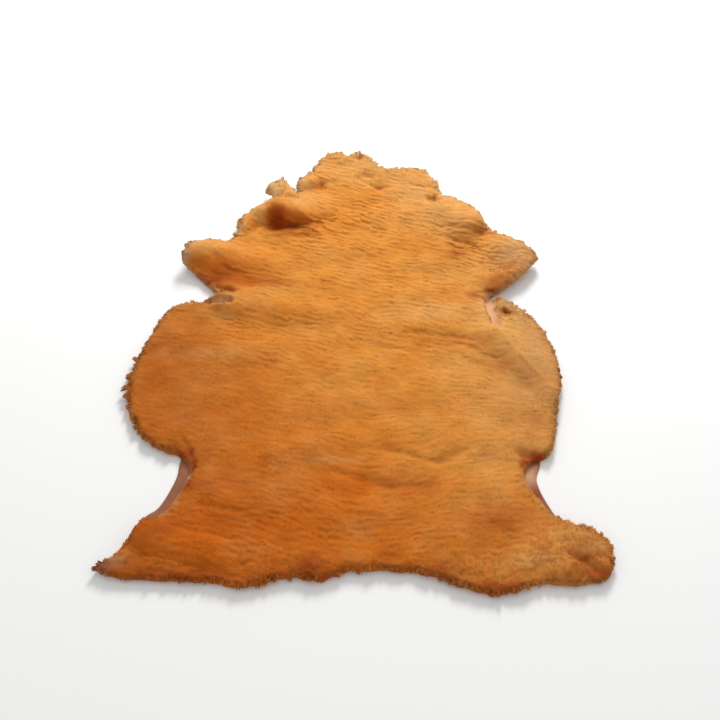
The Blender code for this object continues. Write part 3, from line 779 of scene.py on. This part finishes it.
def lattice(ring, inside, step_x, step_y, clearance):
    """Points of a staggered lattice that lie inside a ring by more than the clearance."""
    low, high = ring.min(axis=0), ring.max(axis=0)
    lines = np.arange(int((high[1] - low[1]) / step_y) + 1)
    steps = np.arange(-1, int((high[0] - low[0]) / step_x) + 2)
    line, step = (grid.ravel() for grid in np.meshgrid(lines, steps, indexing="ij"))
    points = np.stack([low[0] + (step + 0.5 * (line % 2)) * step_x, low[1] + line * step_y], axis=1)
    return points[inside(*points.T) > clearance]


def filled(ring, points):
    """The triangles that fill a ring over its own points and the points inside it, each
    turned anticlockwise as seen from above."""
    flat = np.vstack([ring, points])
    found = delaunay_2d_cdt(flat.tolist(), [], [list(range(len(ring)))], 1, 1e-7)
    if len(found[0]) != len(flat):
        raise RuntimeError(f"the ring crosses itself: {len(flat)} points became {len(found[0])}")
    faces = np.array(found[2])
    a, b, c = (flat[faces[:, corner]] for corner in range(3))
    turned = (b[:, 0] - a[:, 0]) * (c[:, 1] - a[:, 1]) < (b[:, 1] - a[:, 1]) * (c[:, 0] - a[:, 0])
    faces[turned] = faces[turned][:, ::-1]
    return flat, faces


def wall_between(one, other):
    """The triangles between two rings, each ring given as the numbers of its points."""
    one_after, other_after = np.roll(one, -1), np.roll(other, -1)
    low, high = (one, one_after, other), (one_after, other_after, other)
    return np.vstack([np.stack(low, axis=1), np.stack(high, axis=1)])


def new_mesh(name, points, faces, layer):
    """A mesh object of triangles at the origin, with its own map for baked colours."""
    mesh = bpy.data.meshes.new(name)
    mesh.vertices.add(len(points))
    mesh.vertices.foreach_set("co", np.ascontiguousarray(points, np.float32).ravel())
    mesh.loops.add(faces.size)
    mesh.loops.foreach_set("vertex_index", np.ascontiguousarray(faces, np.int32).ravel())
    mesh.polygons.add(len(faces))
    mesh.polygons.foreach_set("loop_start", np.arange(len(faces), dtype=np.int32) * 3)
    mesh.update(calc_edges=True)
    mesh.shade_smooth()
    uv = mesh.uv_layers.new(name="OFBake")
    uv.uv.foreach_set("vector", np.ascontiguousarray(layer, np.float32).ravel())
    thing = bpy.data.objects.new(name, mesh)
    bpy.context.scene.collection.objects.link(thing)
    return thing


def store(thing, name, values):
    """Stores one value a vertex."""
    made = thing.data.attributes.new(name, "FLOAT", "POINT")
    made.data.foreach_set("value", np.ascontiguousarray(values, np.float32))


def stained(x, y, table):
    """How far the soft round stains of a table show: what they leave of the clean, from 1."""
    clean = np.ones_like(x)
    for stain in table:
        clean *= 1.0 - stain.amount * round_bell(x, y, stain)
    return 1.0 - clean


def bareness(x, y):
    """1 on bare skin and 0 where the wool has its full depth."""
    most = np.zeros_like(x)
    ragged = BARE_RAGGED * rough(x, y, "edge of bare skin")
    for bare in BARES:
        run_x, run_y = (bare.x1 - bare.x0) * MM, (bare.y1 - bare.y0) * MM
        from_x, from_y = x - bare.x0 * MM, y - bare.y0 * MM
        t = np.clip((from_x * run_x + from_y * run_y) / (run_x**2 + run_y**2), 0.0, 1.0)
        away = np.hypot(from_x - t * run_x, from_y - t * run_y) + ragged
        half = (bare.half0 + (bare.half1 - bare.half0) * t) * MM
        most = np.maximum(most, 1.0 - eased((away - half) / (bare.fade * MM)))
    return most


def trough_and_slope_shade(x, y, sizes):
    """Painted shade, laid on as the deep colour: most in the crimp's troughs, and where a fold's
    slope faces the near side, away from the lamp."""
    step = 3.0 * MM
    slope = (lift(x, y + step)[2] - lift(x, y - step)[2]) / (2.0 * step)
    trough = np.clip(-crimp(x, y, sizes) / sizes.crimp_height, 0.0, 1.0)
    return np.clip(1.2 * trough + 0.7 * np.clip(slope, 0.0, 0.8), 0.0, 0.95)


def tint_and_shade(thing, x, y, sizes):
    """Stores on each vertex how much of each kind of stain its wool has.

    To a kind's own stains comes a share of the colour's drift, and then more that shows through
    what is left: painted shade in the crimp's troughs and on slopes that face away from the lamp
    for the deep colour, and the gathering at the rim for the rest, where pale_and_lit is painted
    light and shade_and_brown painted shade.
    """
    drift = 0.16 * rough(x, y, "dye drifts") + 0.10 * rough(x, y, "dye drifts closely")
    ragged_x = x + STAIN_RAGGED * rough(x, y, "stains stray across")
    ragged_y = y + STAIN_RAGGED * rough(x, y, "stains stray along")
    from_edge = wool_edge()[3](x, y)
    for kind, share in DYE_DRIFT.items():
        amount = np.clip(stained(ragged_x, ragged_y, STAINS[kind]) + share * drift, 0.0, 1.0)
        if kind == "deep":
            more = trough_and_slope_shade(x, y, sizes)
        else:
            stain = RIM_STAINS[kind]
            rim = np.exp(-((from_edge / (stain.reach * MM)) ** 2))
            more = stain.most * rim * np.clip(stain.middle + stain.slope * y, 0.0, 1.0)
        store(thing, kind.capitalize(), 1.0 - (1.0 - amount) * (1.0 - more))
    bare = np.maximum(eased(2.0 * bareness(x, y) - 0.4), stained(x, y, STAINS["bare"]))
    store(thing, "Bare", bare)


def add_node(material, kind, inputs=(), **settings):
    """Adds a shader node with its settings; an input is a value or another node's output."""
    node = material.node_tree.nodes.new(kind)
    for name, value in settings.items():
        setattr(node, name, value)
    for name, value in dict(inputs).items():
        if isinstance(value, bpy.types.NodeSocket):
            material.node_tree.links.new(value, node.inputs[name])
        else:
            node.inputs[name].default_value = value
    return node


def new_material(name):
    """A material with only its output, and the shader that it starts from."""
    material = bpy.data.materials.new(name)
    material.use_nodes = True
    shader = material.node_tree.nodes["Principled BSDF"]
    return material, shader


def patterned(material, size_mm, detail, key):
    """A noise pattern whose lumps are size_mm wide along each axis."""
    scaled = add_node(material, "ShaderNodeMapping", {
        "Vector": add_node(material, "ShaderNodeTexCoord").outputs["Object"],
        "Scale": tuple(1.0 / (size * MM) for size in size_mm),
        "Location": (key, 2.3 * key, 0.7 * key),
    })
    return add_node(material, "ShaderNodeTexNoise", {
        "Vector": scaled.outputs["Vector"], "Scale": 1.0, "Detail": detail, "Roughness": 0.55,
    }).outputs["Fac"]


def over(material, colour, name, other):
    """A colour with another laid over it, as far as the vertices' value of that name says."""
    share = add_node(material, "ShaderNodeAttribute", attribute_name=name).outputs["Fac"]
    return add_node(
        material, "ShaderNodeMix", {0: share, 6: colour, 7: other}, data_type="RGBA",
    ).outputs[2]


def dimmed(material, colour, value):
    """A colour multiplied by a value, which makes it darker below 1 and lighter above."""
    grey = add_node(material, "ShaderNodeCombineColor", {0: value, 1: value, 2: value})
    return add_node(material, "ShaderNodeMix", {
        0: 1.0, 6: colour, 7: grey.outputs[0],
    }, data_type="RGBA", blend_type="MULTIPLY").outputs[2]


def wool_material(name, colours, tufted, pale_tip=0.30):
    """Shorn, dyed sheep's wool: matt, soft and faintly bright where it turns away.

    The dye is golden, deeper where it took well and paler where it has faded, and drifts a
    little from lock to lock. The deep and shade_and_brown colours also carry painted shade, and
    pale_and_lit painted light. Seen from the side the fibre ends catch light, which is sheen.
    Loose ends and locks are darker towards their roots, which is painted shade among the ends,
    and paler at their tips.
    """
    material, shader = new_material(name)
    colour = (*colours.golden, 1.0)
    # The colours over the golden dye carry painted shade and painted light as well as stains.
    for kind in ("deep", "pale_and_lit", "dusty", "shade_and_brown"):
        colour = over(material, colour, kind.capitalize(), (*getattr(colours, kind), 1.0))
    drift = add_node(material, "ShaderNodeMapRange", {
        "Value": patterned(material, (26.0, 11.0, 26.0), 3.0, 1.0),
        "From Min": 0.3, "From Max": 0.7, "To Min": 0.90, "To Max": 1.09,
    })
    colour = dimmed(material, colour, drift.outputs["Result"])
    if tufted:
        tip = add_node(material, "ShaderNodeAttribute", attribute_name="Tip").outputs["Fac"]
        pale = add_node(material, "ShaderNodeMapRange", {"Value": tip, "To Max": pale_tip})
        colour = add_node(material, "ShaderNodeMix", {
            0: pale.outputs["Result"], 6: colour, 7: (*colours.tips, 1.0),
        }, data_type="RGBA").outputs[2]
        # Painted shade: an end is darker towards its root, down among the other ends.
        root = add_node(material, "ShaderNodeMapRange", {
            "Value": tip, "From Max": 0.6, "To Min": 0.86,
        })
        colour = dimmed(material, colour, root.outputs["Result"])
    else:
        bare, thin = (*colours.bare_skin, 1.0), (*colours.thin_skin, 1.0)
        colour = over(material, colour, "Bare", over(material, bare, "Pale_and_lit", thin))
        fibres = patterned(material, (4.0, 2.4, 3.0), 3.0, 2.0)
        bump = add_node(material, "ShaderNodeBump", {
            "Height": fibres, "Strength": 0.4, "Distance": 0.9 * MM,
        })
        material.node_tree.links.new(bump.outputs["Normal"], shader.inputs["Normal"])
    material.node_tree.links.new(colour, shader.inputs["Base Color"])
    shader.inputs["Roughness"].default_value = 0.95
    shader.inputs["Specular IOR Level"].default_value = 0.15
    shader.inputs["Sheen Weight"].default_value = 0.12
    shader.inputs["Sheen Roughness"].default_value = 0.5
    shader.inputs["Sheen Tint"].default_value = (*colours.tips, 1.0)
    return material


def leather_material(name, colour, colours):
    """Tanned sheepskin: matt suede with a fine nap, mottled by follicles and handling.

    The nap is drawn coarser than a real one, so that it can be seen.
    """
    material, shader = new_material(name)
    mottle = add_node(material, "ShaderNodeMapRange", {
        "Value": patterned(material, (18.0, 14.0, 18.0), 4.0, 5.0), "From Min": 0.3, "From Max": 0.7,
    })
    handled = tuple(0.72 * value for value in colour)
    base = add_node(material, "ShaderNodeMix", {
        0: mottle.outputs["Result"], 6: (*handled, 1.0), 7: (*colour, 1.0),
    }, data_type="RGBA").outputs[2]
    # Paler thin skin, in places painted light, and painted shade in the creases and by the wool's cut
    # edges.
    base = over(material, base, "Pale_and_lit", (*colours.thin_skin, 1.0))
    base = over(material, base, "Shade_and_brown", (*colours.shade_and_brown, 1.0))
    nap = patterned(material, (0.9, 0.9, 0.9), 3.0, 6.0)
    wrinkles = patterned(material, (9.0, 4.0, 9.0), 2.0, 7.0)
    height = add_node(material, "ShaderNodeMath", {0: nap, 1: wrinkles}, operation="ADD").outputs[0]
    bump = add_node(material, "ShaderNodeBump", {
        "Height": height, "Strength": 0.4, "Distance": 0.5 * MM,
    })
    material.node_tree.links.new(bump.outputs["Normal"], shader.inputs["Normal"])
    material.node_tree.links.new(base, shader.inputs["Base Color"])
    shader.inputs["Roughness"].default_value = 0.8
    shader.inputs["Specular IOR Level"].default_value = 0.3
    shader.inputs["Sheen Weight"].default_value = 0.1
    return material


def plan_map(points, faces, corner=(0.0, 0.0), scale=1.0):
    """A map that looks straight down: each face corner's place across and along the hide."""
    low = np.array(CAD_BOX[0][:2]) - MAP_MARGIN
    span = CAD_BOX[1][1] - CAD_BOX[0][1] + 2.0 * MAP_MARGIN
    return (np.asarray(corner) + (points[:, :2] - low) / span * scale)[faces.ravel()]


def bare_share(rim):
    """1 at each point of the rim where the skin's edge is bare and 0 where it isn't: a mean
    of the landmarks' own shares, in which a near one weighs far more than a distant one."""
    knots = np.stack(columns(OUTLINE, "across", "along", "bare"), axis=1)
    away = np.hypot(rim[:, None, 0] - knots[:, 0] * MM, rim[:, None, 1] - knots[:, 1] * MM)
    weight = 1.0 / (away + 4.0 * MM) ** 3
    share = (weight * np.minimum(knots[:, 2] / 10.0, 1.0)).sum(axis=1) / weight.sum(axis=1)
    return np.clip(share, 0.0, 1.0)


class SHEEPSKIN_OT_skin(bpy.types.Operator):
    """Makes the tanned skin, a sheet that follows the folds and shows where no wool grows"""
    bl_idname = "sheepskin.skin"
    bl_label = "Tanned skin"

    def execute(self, context):
        sizes, colours = context.scene.sheepskin_sizes, context.scene.sheepskin_colours
        rim, outward, _ = rim_curve(SKIN_STEP, 0.0)
        edge = rim - outward * (SKIN_INSET + WOOL_OVERHANG * (1.0 - bare_share(rim)))[:, None]
        inside = inside_field(edge)
        flat, faces = filled(edge, lattice(edge, inside, *SKIN_LATTICE))
        count, ring = len(flat), np.arange(len(edge))
        lower = laid(*flat.T, np.zeros(count))
        upper = laid(*flat.T, np.full(count, sizes.skin))
        bulge = edge + outward * EDGE_BULGE
        middle = laid(*bulge.T, np.full(len(edge), 0.5 * sizes.skin))
        points = np.vstack([upper, lower, middle])
        wall = np.vstack([
            wall_between(ring, ring + 2 * count),
            wall_between(ring + 2 * count, ring + count),
        ])
        under = faces[:, ::-1] + count
        whole = np.vstack([faces, wall, under])
        layer = np.vstack([
            plan_map(points, faces, (0.0, 0.0), 0.6),
            plan_map(points, wall, (0.0, 0.0), 0.6),
            plan_map(points, under, (0.5, 0.0), 0.6),
        ])
        skin = new_mesh("tanned_skin", points, whole, layer)
        places = np.vstack([flat, flat, edge])
        for kind in ("pale_and_lit", "shade_and_brown"):
            store(skin, kind.capitalize(), stained(*places.T, SKIN_STAINS[kind]))
        # The wool side of the leather is rosy brown, and its buffed underside is pale and dry.
        skin.data.materials.append(leather_material("bare sheepskin", colours.bare_skin, colours))
        skin.data.materials.append(leather_material("buffed flesh side", colours.flesh_side, colours))
        slots = np.zeros(len(whole), np.int32)
        slots[len(faces) + len(wall):] = 1
        skin.data.polygons.foreach_set("material_index", slots)
        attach(skin, "root")
        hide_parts("hide")
        return {"FINISHED"}


def fleece_top(x, y, inside, sizes):
    """The wool's surface over a point of the flat hide.

    Above the skin stands the wool's own height, rounded as a quarter circle up from a third
    of it at the edge, with the crimp on it, which leans to the near side as it rises. Along
    the edge the wool is lumpier.
    """
    share = np.clip(inside / sizes.rim_round, 0.0, 1.0)
    rounding = np.sqrt(1.0 - (1.0 - share) ** 2)
    full = 1.0 - bareness(x, y)
    height = wool_height(x, y, sizes.wool) * (0.34 + 0.66 * rounding) * full
    waves = crimp(x, y, sizes) * rounding * full
    near_edge = np.exp(-inside / (9.0 * MM))
    waves += 1.6 * MM * (rough(x, y, "lumps of the edge") * near_edge * rounding * full)
    placed = laid(x, y, sizes.skin + CLEAR_OF_SKIN + height + waves)
    placed[:, 1] -= 0.5 * waves
    return placed


class SHEEPSKIN_OT_fleece(bpy.types.Operator):
    """Makes the fleece, a closed body of wool whose top carries the crimp"""
    bl_idname = "sheepskin.fleece"
    bl_label = "Fleece"

    def execute(self, context):
        sizes, colours = context.scene.sheepskin_sizes, context.scene.sheepskin_colours
        ring, outward, _, inside = wool_edge()
        rings = offset_rings(ring, outward, inside, FLEECE_RINGS)
        flat, faces = filled(ring, np.vstack([rings, lattice(ring, inside, *FLEECE_LATTICE)]))
        deep = np.maximum(inside(*flat.T), 0.0)
        deep[:len(ring)] = 0.0
        top = fleece_top(*flat.T, deep, sizes)
        # The underside lies within the skin, and rises 2 mm out of it over the last 5 mm.
        rings = offset_rings(ring, outward, inside, UNDER_RINGS)
        below, under = filled(ring, np.vstack([rings, lattice(ring, inside, *UNDER_LATTICE)]))
        sunk = np.clip(inside(*below.T) / (5.0 * MM), 0.0, 1.0)
        bottom = laid(*below.T, sizes.skin * 0.8 + (1.0 - sunk) * 2.0 * MM)
        rim = np.arange(len(ring))
        wall = wall_between(rim, rim + len(flat))
        under = under[:, ::-1] + len(flat)
        points = np.vstack([top, bottom])
        layer = np.vstack([
            plan_map(points, np.vstack([faces, wall])),
            plan_map(points, under, (0.79, 0.0), 0.25),
        ])
        fleece = new_mesh("fleece", points, np.vstack([faces, wall, under]), layer)
        tint_and_shade(fleece, *np.vstack([flat, below]).T, sizes)
        fleece.data.materials.append(wool_material("shorn wool", colours, False))
        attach(fleece, "root")
        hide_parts("hide")
        return {"FINISHED"}


def wool_ends(path, width, dice):
    """Three-sided ends of wool along paths of two or three places, as points, faces and each
    point's share of its end's length.

    An end has three points round its root, three closer together round its middle place if
    it has one, and one at its tip. Its root is closed by a face of its own. Each end is spun
    by chance about its own line, from a direction across it that is never along it.
    """
    count = len(path[0])
    way = path[-1] - path[0]
    length = np.linalg.norm(way, axis=1, keepdims=True)
    way = way / length
    across = np.cross(way, np.array([0.31, 0.17, 0.93]))
    across /= np.linalg.norm(across, axis=1, keepdims=True)
    facing = np.cross(way, across)
    spin = dice.uniform(0.0, 2.0 * np.pi, count)
    levels = len(path) - 1
    points = np.empty((count, 3 * levels + 1, 3))
    for level in range(levels):
        radius = 0.5 * width * (1.0 - 0.2 * level)
        for corner in range(3):
            turn = spin + corner * 2.0 * np.pi / 3.0
            side = across * np.cos(turn)[:, None] + facing * np.sin(turn)[:, None]
            points[:, 3 * level + corner] = path[level] + side * radius[:, None]
    points[:, -1] = path[-1]
    one = [(2, 1, 0)]
    for corner in range(3):
        after = (corner + 1) % 3
        if levels == 2:
            one += [(corner, after, 3 + after), (corner, 3 + after, 3 + corner)]
        one.append((3 * levels - 3 + corner, 3 * levels - 3 + after, 3 * levels))
    faces = (np.array(one) + points.shape[1] * np.arange(count)[:, None, None]).reshape(-1, 3)
    share = np.tile(np.repeat(np.linspace(0.0, 1.0, levels + 1), 3)[:3 * levels + 1], count)
    return points.reshape(-1, 3), faces, share


def ends_map(roots, faces, width, levels):
    """A map for ends of wool: each unrolled beside its root's place, so that no face is thin."""
    root = [(-0.5, 0.0), (0.0, 0.3), (0.5, 0.0)]
    middle = [(-0.4, -1.0), (0.0, -0.7), (0.4, -1.0)]
    shape = np.array((root + middle)[:3 * levels] + [(0.0, -1.0 * levels)])
    flat = roots[:, None, :2] + shape * (1.2 * width)[:, None, None]
    return plan_map(flat.reshape(-1, 2), faces)


def surface_at(x, y, inside, sizes):
    """The wool's surface and the direction square to it, which is kept from facing down."""
    step = 1.2 * MM

    def top(px, py):
        return fleece_top(px, py, np.maximum(inside(px, py), 0.0), sizes)

    square = np.cross(top(x + step, y) - top(x - step, y), top(x, y + step) - top(x, y - step))
    square /= np.linalg.norm(square, axis=1, keepdims=True)
    square[:, 2] = np.maximum(square[:, 2], 0.15)
    return top(x, y), square / np.linalg.norm(square, axis=1, keepdims=True)


class SHEEPSKIN_OT_coat(bpy.types.Operator):
    """Makes the coat of short ends of wool that lie over the fleece, in pieces from neck to tail"""
    bl_idname = "sheepskin.coat"
    bl_label = "Coat of wool ends"

    def execute(self, context):
        sizes, colours = context.scene.sheepskin_sizes, context.scene.sheepskin_colours
        material = wool_material("wool ends", colours, True)
        ring, _, _, inside = wool_edge()
        dice = np.random.default_rng([SEED, 31])
        # The roots stand on a staggered lattice, each strayed by chance, and not on bare skin.
        spots = lattice(ring, inside, sizes.end_spacing, 0.87 * sizes.end_spacing, 0.6 * MM)
        spots += dice.uniform(-0.45, 0.45, spots.shape) * sizes.end_spacing
        spots = spots[inside(*spots.T) > 0.3 * MM]
        spots = spots[bareness(*spots.T) < 0.5]
        order = np.argsort(-spots[:, 1], kind="stable")
        names = ("neck", "shoulder", "back", "rump")
        for name, part in zip(names, np.array_split(order, len(names))):
            x, y = spots[part].T
            here, square = surface_at(x, y, inside, sizes)
            fluff = fluffiness(x, y)
            # The nap runs to the near side, turned by a wandering angle, most where it curls,
            # and is pressed flat onto the surface. An end's tip rises a little off it.
            swirl = 0.6 * rough(x, y, "nap wanders")
            swirl += 1.6 * fluff * rough(x, y, "curls turn the nap")
            swirl += dice.normal(0.0, 0.45, len(x)) * (1.0 + fluff)
            nap = np.stack([np.sin(swirl), -np.cos(swirl), 0.0 * swirl], axis=1)
            nap -= square * (nap * square).sum(axis=1, keepdims=True)
            nap /= np.linalg.norm(nap, axis=1, keepdims=True)
            length = sizes.end_length * dice.uniform(0.6, 1.2, len(x))
            rise = (dice.uniform(0.1, 0.7, len(x)) + 1.9 * fluff * dice.uniform(0.0, 1.0, len(x))) * MM
            width = sizes.end_width * dice.uniform(0.7, 1.25, len(x))
            roots = here - square * 1.1 * MM
            tips = here + nap * length[:, None] + square * rise[:, None]
            points, faces, share = wool_ends((roots, tips), width, dice)
            piece = new_mesh(f"wool_coat_{name}", points, faces, ends_map(roots, faces, width, 1))
            tint_and_shade(piece, np.repeat(x, 4), np.repeat(y, 4), sizes)
            store(piece, "Tip", share * np.repeat(0.35 + 0.65 * fluff, 4))
            piece.data.normals_split_custom_set_from_vertices(np.repeat(square, 4, axis=0).tolist())
            piece.data.materials.append(material)
            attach(piece, "root")
        return {"FINISHED"}


class SHEEPSKIN_OT_locks(bpy.types.Operator):
    """Makes the locks of wool that stand out all round the rim"""
    bl_idname = "sheepskin.locks"
    bl_label = "Rim locks"

    def execute(self, context):
        sizes, colours = context.scene.sheepskin_sizes, context.scene.sheepskin_colours
        material = wool_material("wool locks", colours, True, 0.22)
        dice = np.random.default_rng([SEED, 51])
        ring, outward, lock = rim_curve(LOCK_STEP, 1.0)
        inside = wool_edge()[3]
        woolly = (bareness(*(ring - outward * 2.0 * MM).T) < 0.35) & (lock > 2.5 * MM)
        ring, outward, lock = ring[woolly], outward[woolly], lock[woolly]
        # A lock reaches out to one goal, and its ends start from spots inside the edge.
        clumps = len(ring)
        home = np.repeat(np.arange(clumps), ENDS_IN_A_LOCK)
        aside = np.stack([outward[:, 1], -outward[:, 0]], axis=1)
        share = dice.uniform(0.1, 1.0, clumps)
        reach = lock * (0.05 + 0.85 * dice.uniform(0.0, 1.0, clumps) ** 2.6)
        lean = dice.uniform(-0.7, 0.7, clumps)
        shift = dice.uniform(-2.5, 2.5, clumps) * MM
        goal = ring + outward * reach[:, None] + aside * (shift + lean * reach)[:, None]
        along = dice.uniform(-4.5, 4.5, len(home)) * MM
        back = dice.uniform(2.0, 9.0, len(home)) * MM
        spots = ring[home] + aside[home] * (shift[home] + along)[:, None]
        spots = spots - outward[home] * back[:, None]
        x, y = spots.T
        here, square = surface_at(x, y, inside, sizes)
        # Their roots stand at some level between the skin and the wool's surface.
        low = laid(x, y, np.full(len(x), sizes.skin))
        level = np.clip(share[home] + dice.uniform(-0.3, 0.3, len(home)), 0.1, 0.97)[:, None]
        roots = low + (here - low) * (0.2 + 0.75 * level)
        # Their tips come together over the edge, and their middles arch above the line.
        edge_x, edge_y = (ring[home] + aside[home] * (0.55 * along)[:, None]).T
        edge_low = laid(edge_x, edge_y, np.full(len(home), sizes.skin))
        step = (goal - ring)[home] + dice.normal(0.0, 0.9 * MM, (len(home), 2))
        tips = edge_low + np.column_stack([step, 0.0 * edge_x])
        tall = sizes.wool * (0.10 + 0.75 * level[:, 0]) + dice.normal(0.0, 0.9 * MM, len(home))
        tips[:, 2] += np.maximum(tall, 0.3 * MM)
        middles = 0.3 * roots + 0.7 * tips
        middles[:, 2] += (0.5 + 1.2 * level[:, 0]) * MM
        width = dice.uniform(2.2, 4.0, len(home)) * MM
        points, faces, share = wool_ends((roots, middles, tips), width, dice)
        points[:, 2] = np.maximum(points[:, 2], 0.2 * MM)
        soft = square + 0.25 * np.column_stack([outward[home], np.zeros(len(home))])
        soft = np.repeat(soft / np.linalg.norm(soft, axis=1, keepdims=True), 7, axis=0)
        locks = new_mesh("rim_locks", points, faces, ends_map(roots, faces, width, 2))
        tint_and_shade(locks, np.repeat(x, 7), np.repeat(y, 7), sizes)
        store(locks, "Tip", share)
        locks.data.normals_split_custom_set_from_vertices(soft.tolist())
        locks.data.materials.append(material)
        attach(locks, "root")
        return {"FINISHED"}


def aimed(name, data, place, aim):
    """An object with a camera's or a lamp's data, at a place and turned to the aim."""
    thing = bpy.data.objects.new(name, data)
    bpy.context.scene.collection.objects.link(thing)
    thing.location = place
    thing.rotation_euler = (aim - thing.location).to_track_quat("-Z", "Y").to_euler()
    return thing


class SHEEPSKIN_OT_stage(bpy.types.Operator):
    """Makes the plain pale floor, the soft studio light and the camera"""
    bl_idname = "sheepskin.stage"
    bl_label = "Stage"

    def execute(self, context):
        stage = context.scene.sheepskin_stage
        half, low = 9.0, -0.3 * MM
        square = half * np.array([(-1.0, -1.0), (1.0, -1.0), (1.0, 1.0), (-1.0, 1.0)])
        corners = np.column_stack([square, np.full(4, low)])
        faces = np.array([(0, 1, 2), (0, 2, 3)])
        floor = new_mesh("floor", corners, faces, square[faces.ravel()] / (2.0 * half) + 0.5)
        # Uncoated paper scatters light evenly, so it shows no reflection of the hide.
        material, shader = new_material("matt white paper")
        shader.inputs["Base Color"].default_value = (*linear("#FCFCFB"), 1.0)
        shader.inputs["Roughness"].default_value = 0.9
        floor.data.materials.append(material)

        aim = Vector((0.0118, -0.0516, 0.0))
        camera = bpy.data.cameras.new("camera")
        camera.sensor_width = 36.0
        camera.lens = 50.5
        back, up = np.cos(stage.camera_elevation), np.sin(stage.camera_elevation)
        eye = aim + Vector((0.0, -back, up)) * stage.camera_distance
        context.scene.camera = aimed("camera", camera, eye, aim)

        lamp = bpy.data.lights.new("key lamp", "AREA")
        lamp.energy = stage.key_power
        lamp.size = 0.8
        aimed("key lamp", lamp, aim + Vector((0.35, 2.3, 1.5)), aim)

        world = bpy.data.worlds.new("studio")
        world.use_nodes = True
        background = world.node_tree.nodes["Background"]
        background.inputs["Color"].default_value = (1.0, 1.0, 1.0, 1.0)
        background.inputs["Strength"].default_value = stage.sky
        context.scene.world = world
        context.scene.view_settings.view_transform = "Standard"
        return {"FINISHED"}


class SHEEPSKIN_PT_panel(bpy.types.Panel):
    """Lists the hide's pieces"""
    bl_idname = "SHEEPSKIN_PT_panel"
    bl_label = "Sheepskin hide"
    bl_space_type = "VIEW_3D"
    bl_region_type = "UI"
    bl_category = "Sheepskin"

    def draw(self, context):
        for group in ("sheepskin_sizes", "sheepskin_colours", "sheepskin_stage"):
            box = self.layout.box()
            settings = getattr(context.scene, group)
            for name in settings.bl_rna.properties.keys():
                if name not in ("rna_type", "name"):
                    box.prop(settings, name)
        for operator in OPERATORS:
            self.layout.operator(operator.bl_idname)


OPERATORS = (
    SHEEPSKIN_OT_stage,
    SHEEPSKIN_OT_skin,
    SHEEPSKIN_OT_fleece,
    SHEEPSKIN_OT_coat,
    SHEEPSKIN_OT_locks,
)
CLASSES = (SheepskinSizes, SheepskinColours, SheepskinStage, *OPERATORS, SHEEPSKIN_PT_panel)


def register():
    for kind in CLASSES:
        bpy.utils.register_class(kind)
    bpy.types.Scene.sheepskin_sizes = PointerProperty(type=SheepskinSizes)
    bpy.types.Scene.sheepskin_colours = PointerProperty(type=SheepskinColours)
    bpy.types.Scene.sheepskin_stage = PointerProperty(type=SheepskinStage)


def unregister():
    del bpy.types.Scene.sheepskin_sizes
    del bpy.types.Scene.sheepskin_colours
    del bpy.types.Scene.sheepskin_stage
    for kind in reversed(CLASSES):
        bpy.utils.unregister_class(kind)


def main():
    register()
    bpy.ops.sheepskin.stage()
    bpy.ops.sheepskin.skin()
    bpy.ops.sheepskin.fleece()
    bpy.ops.sheepskin.coat()
    bpy.ops.sheepskin.locks()


if __name__ == "__main__":
    main()
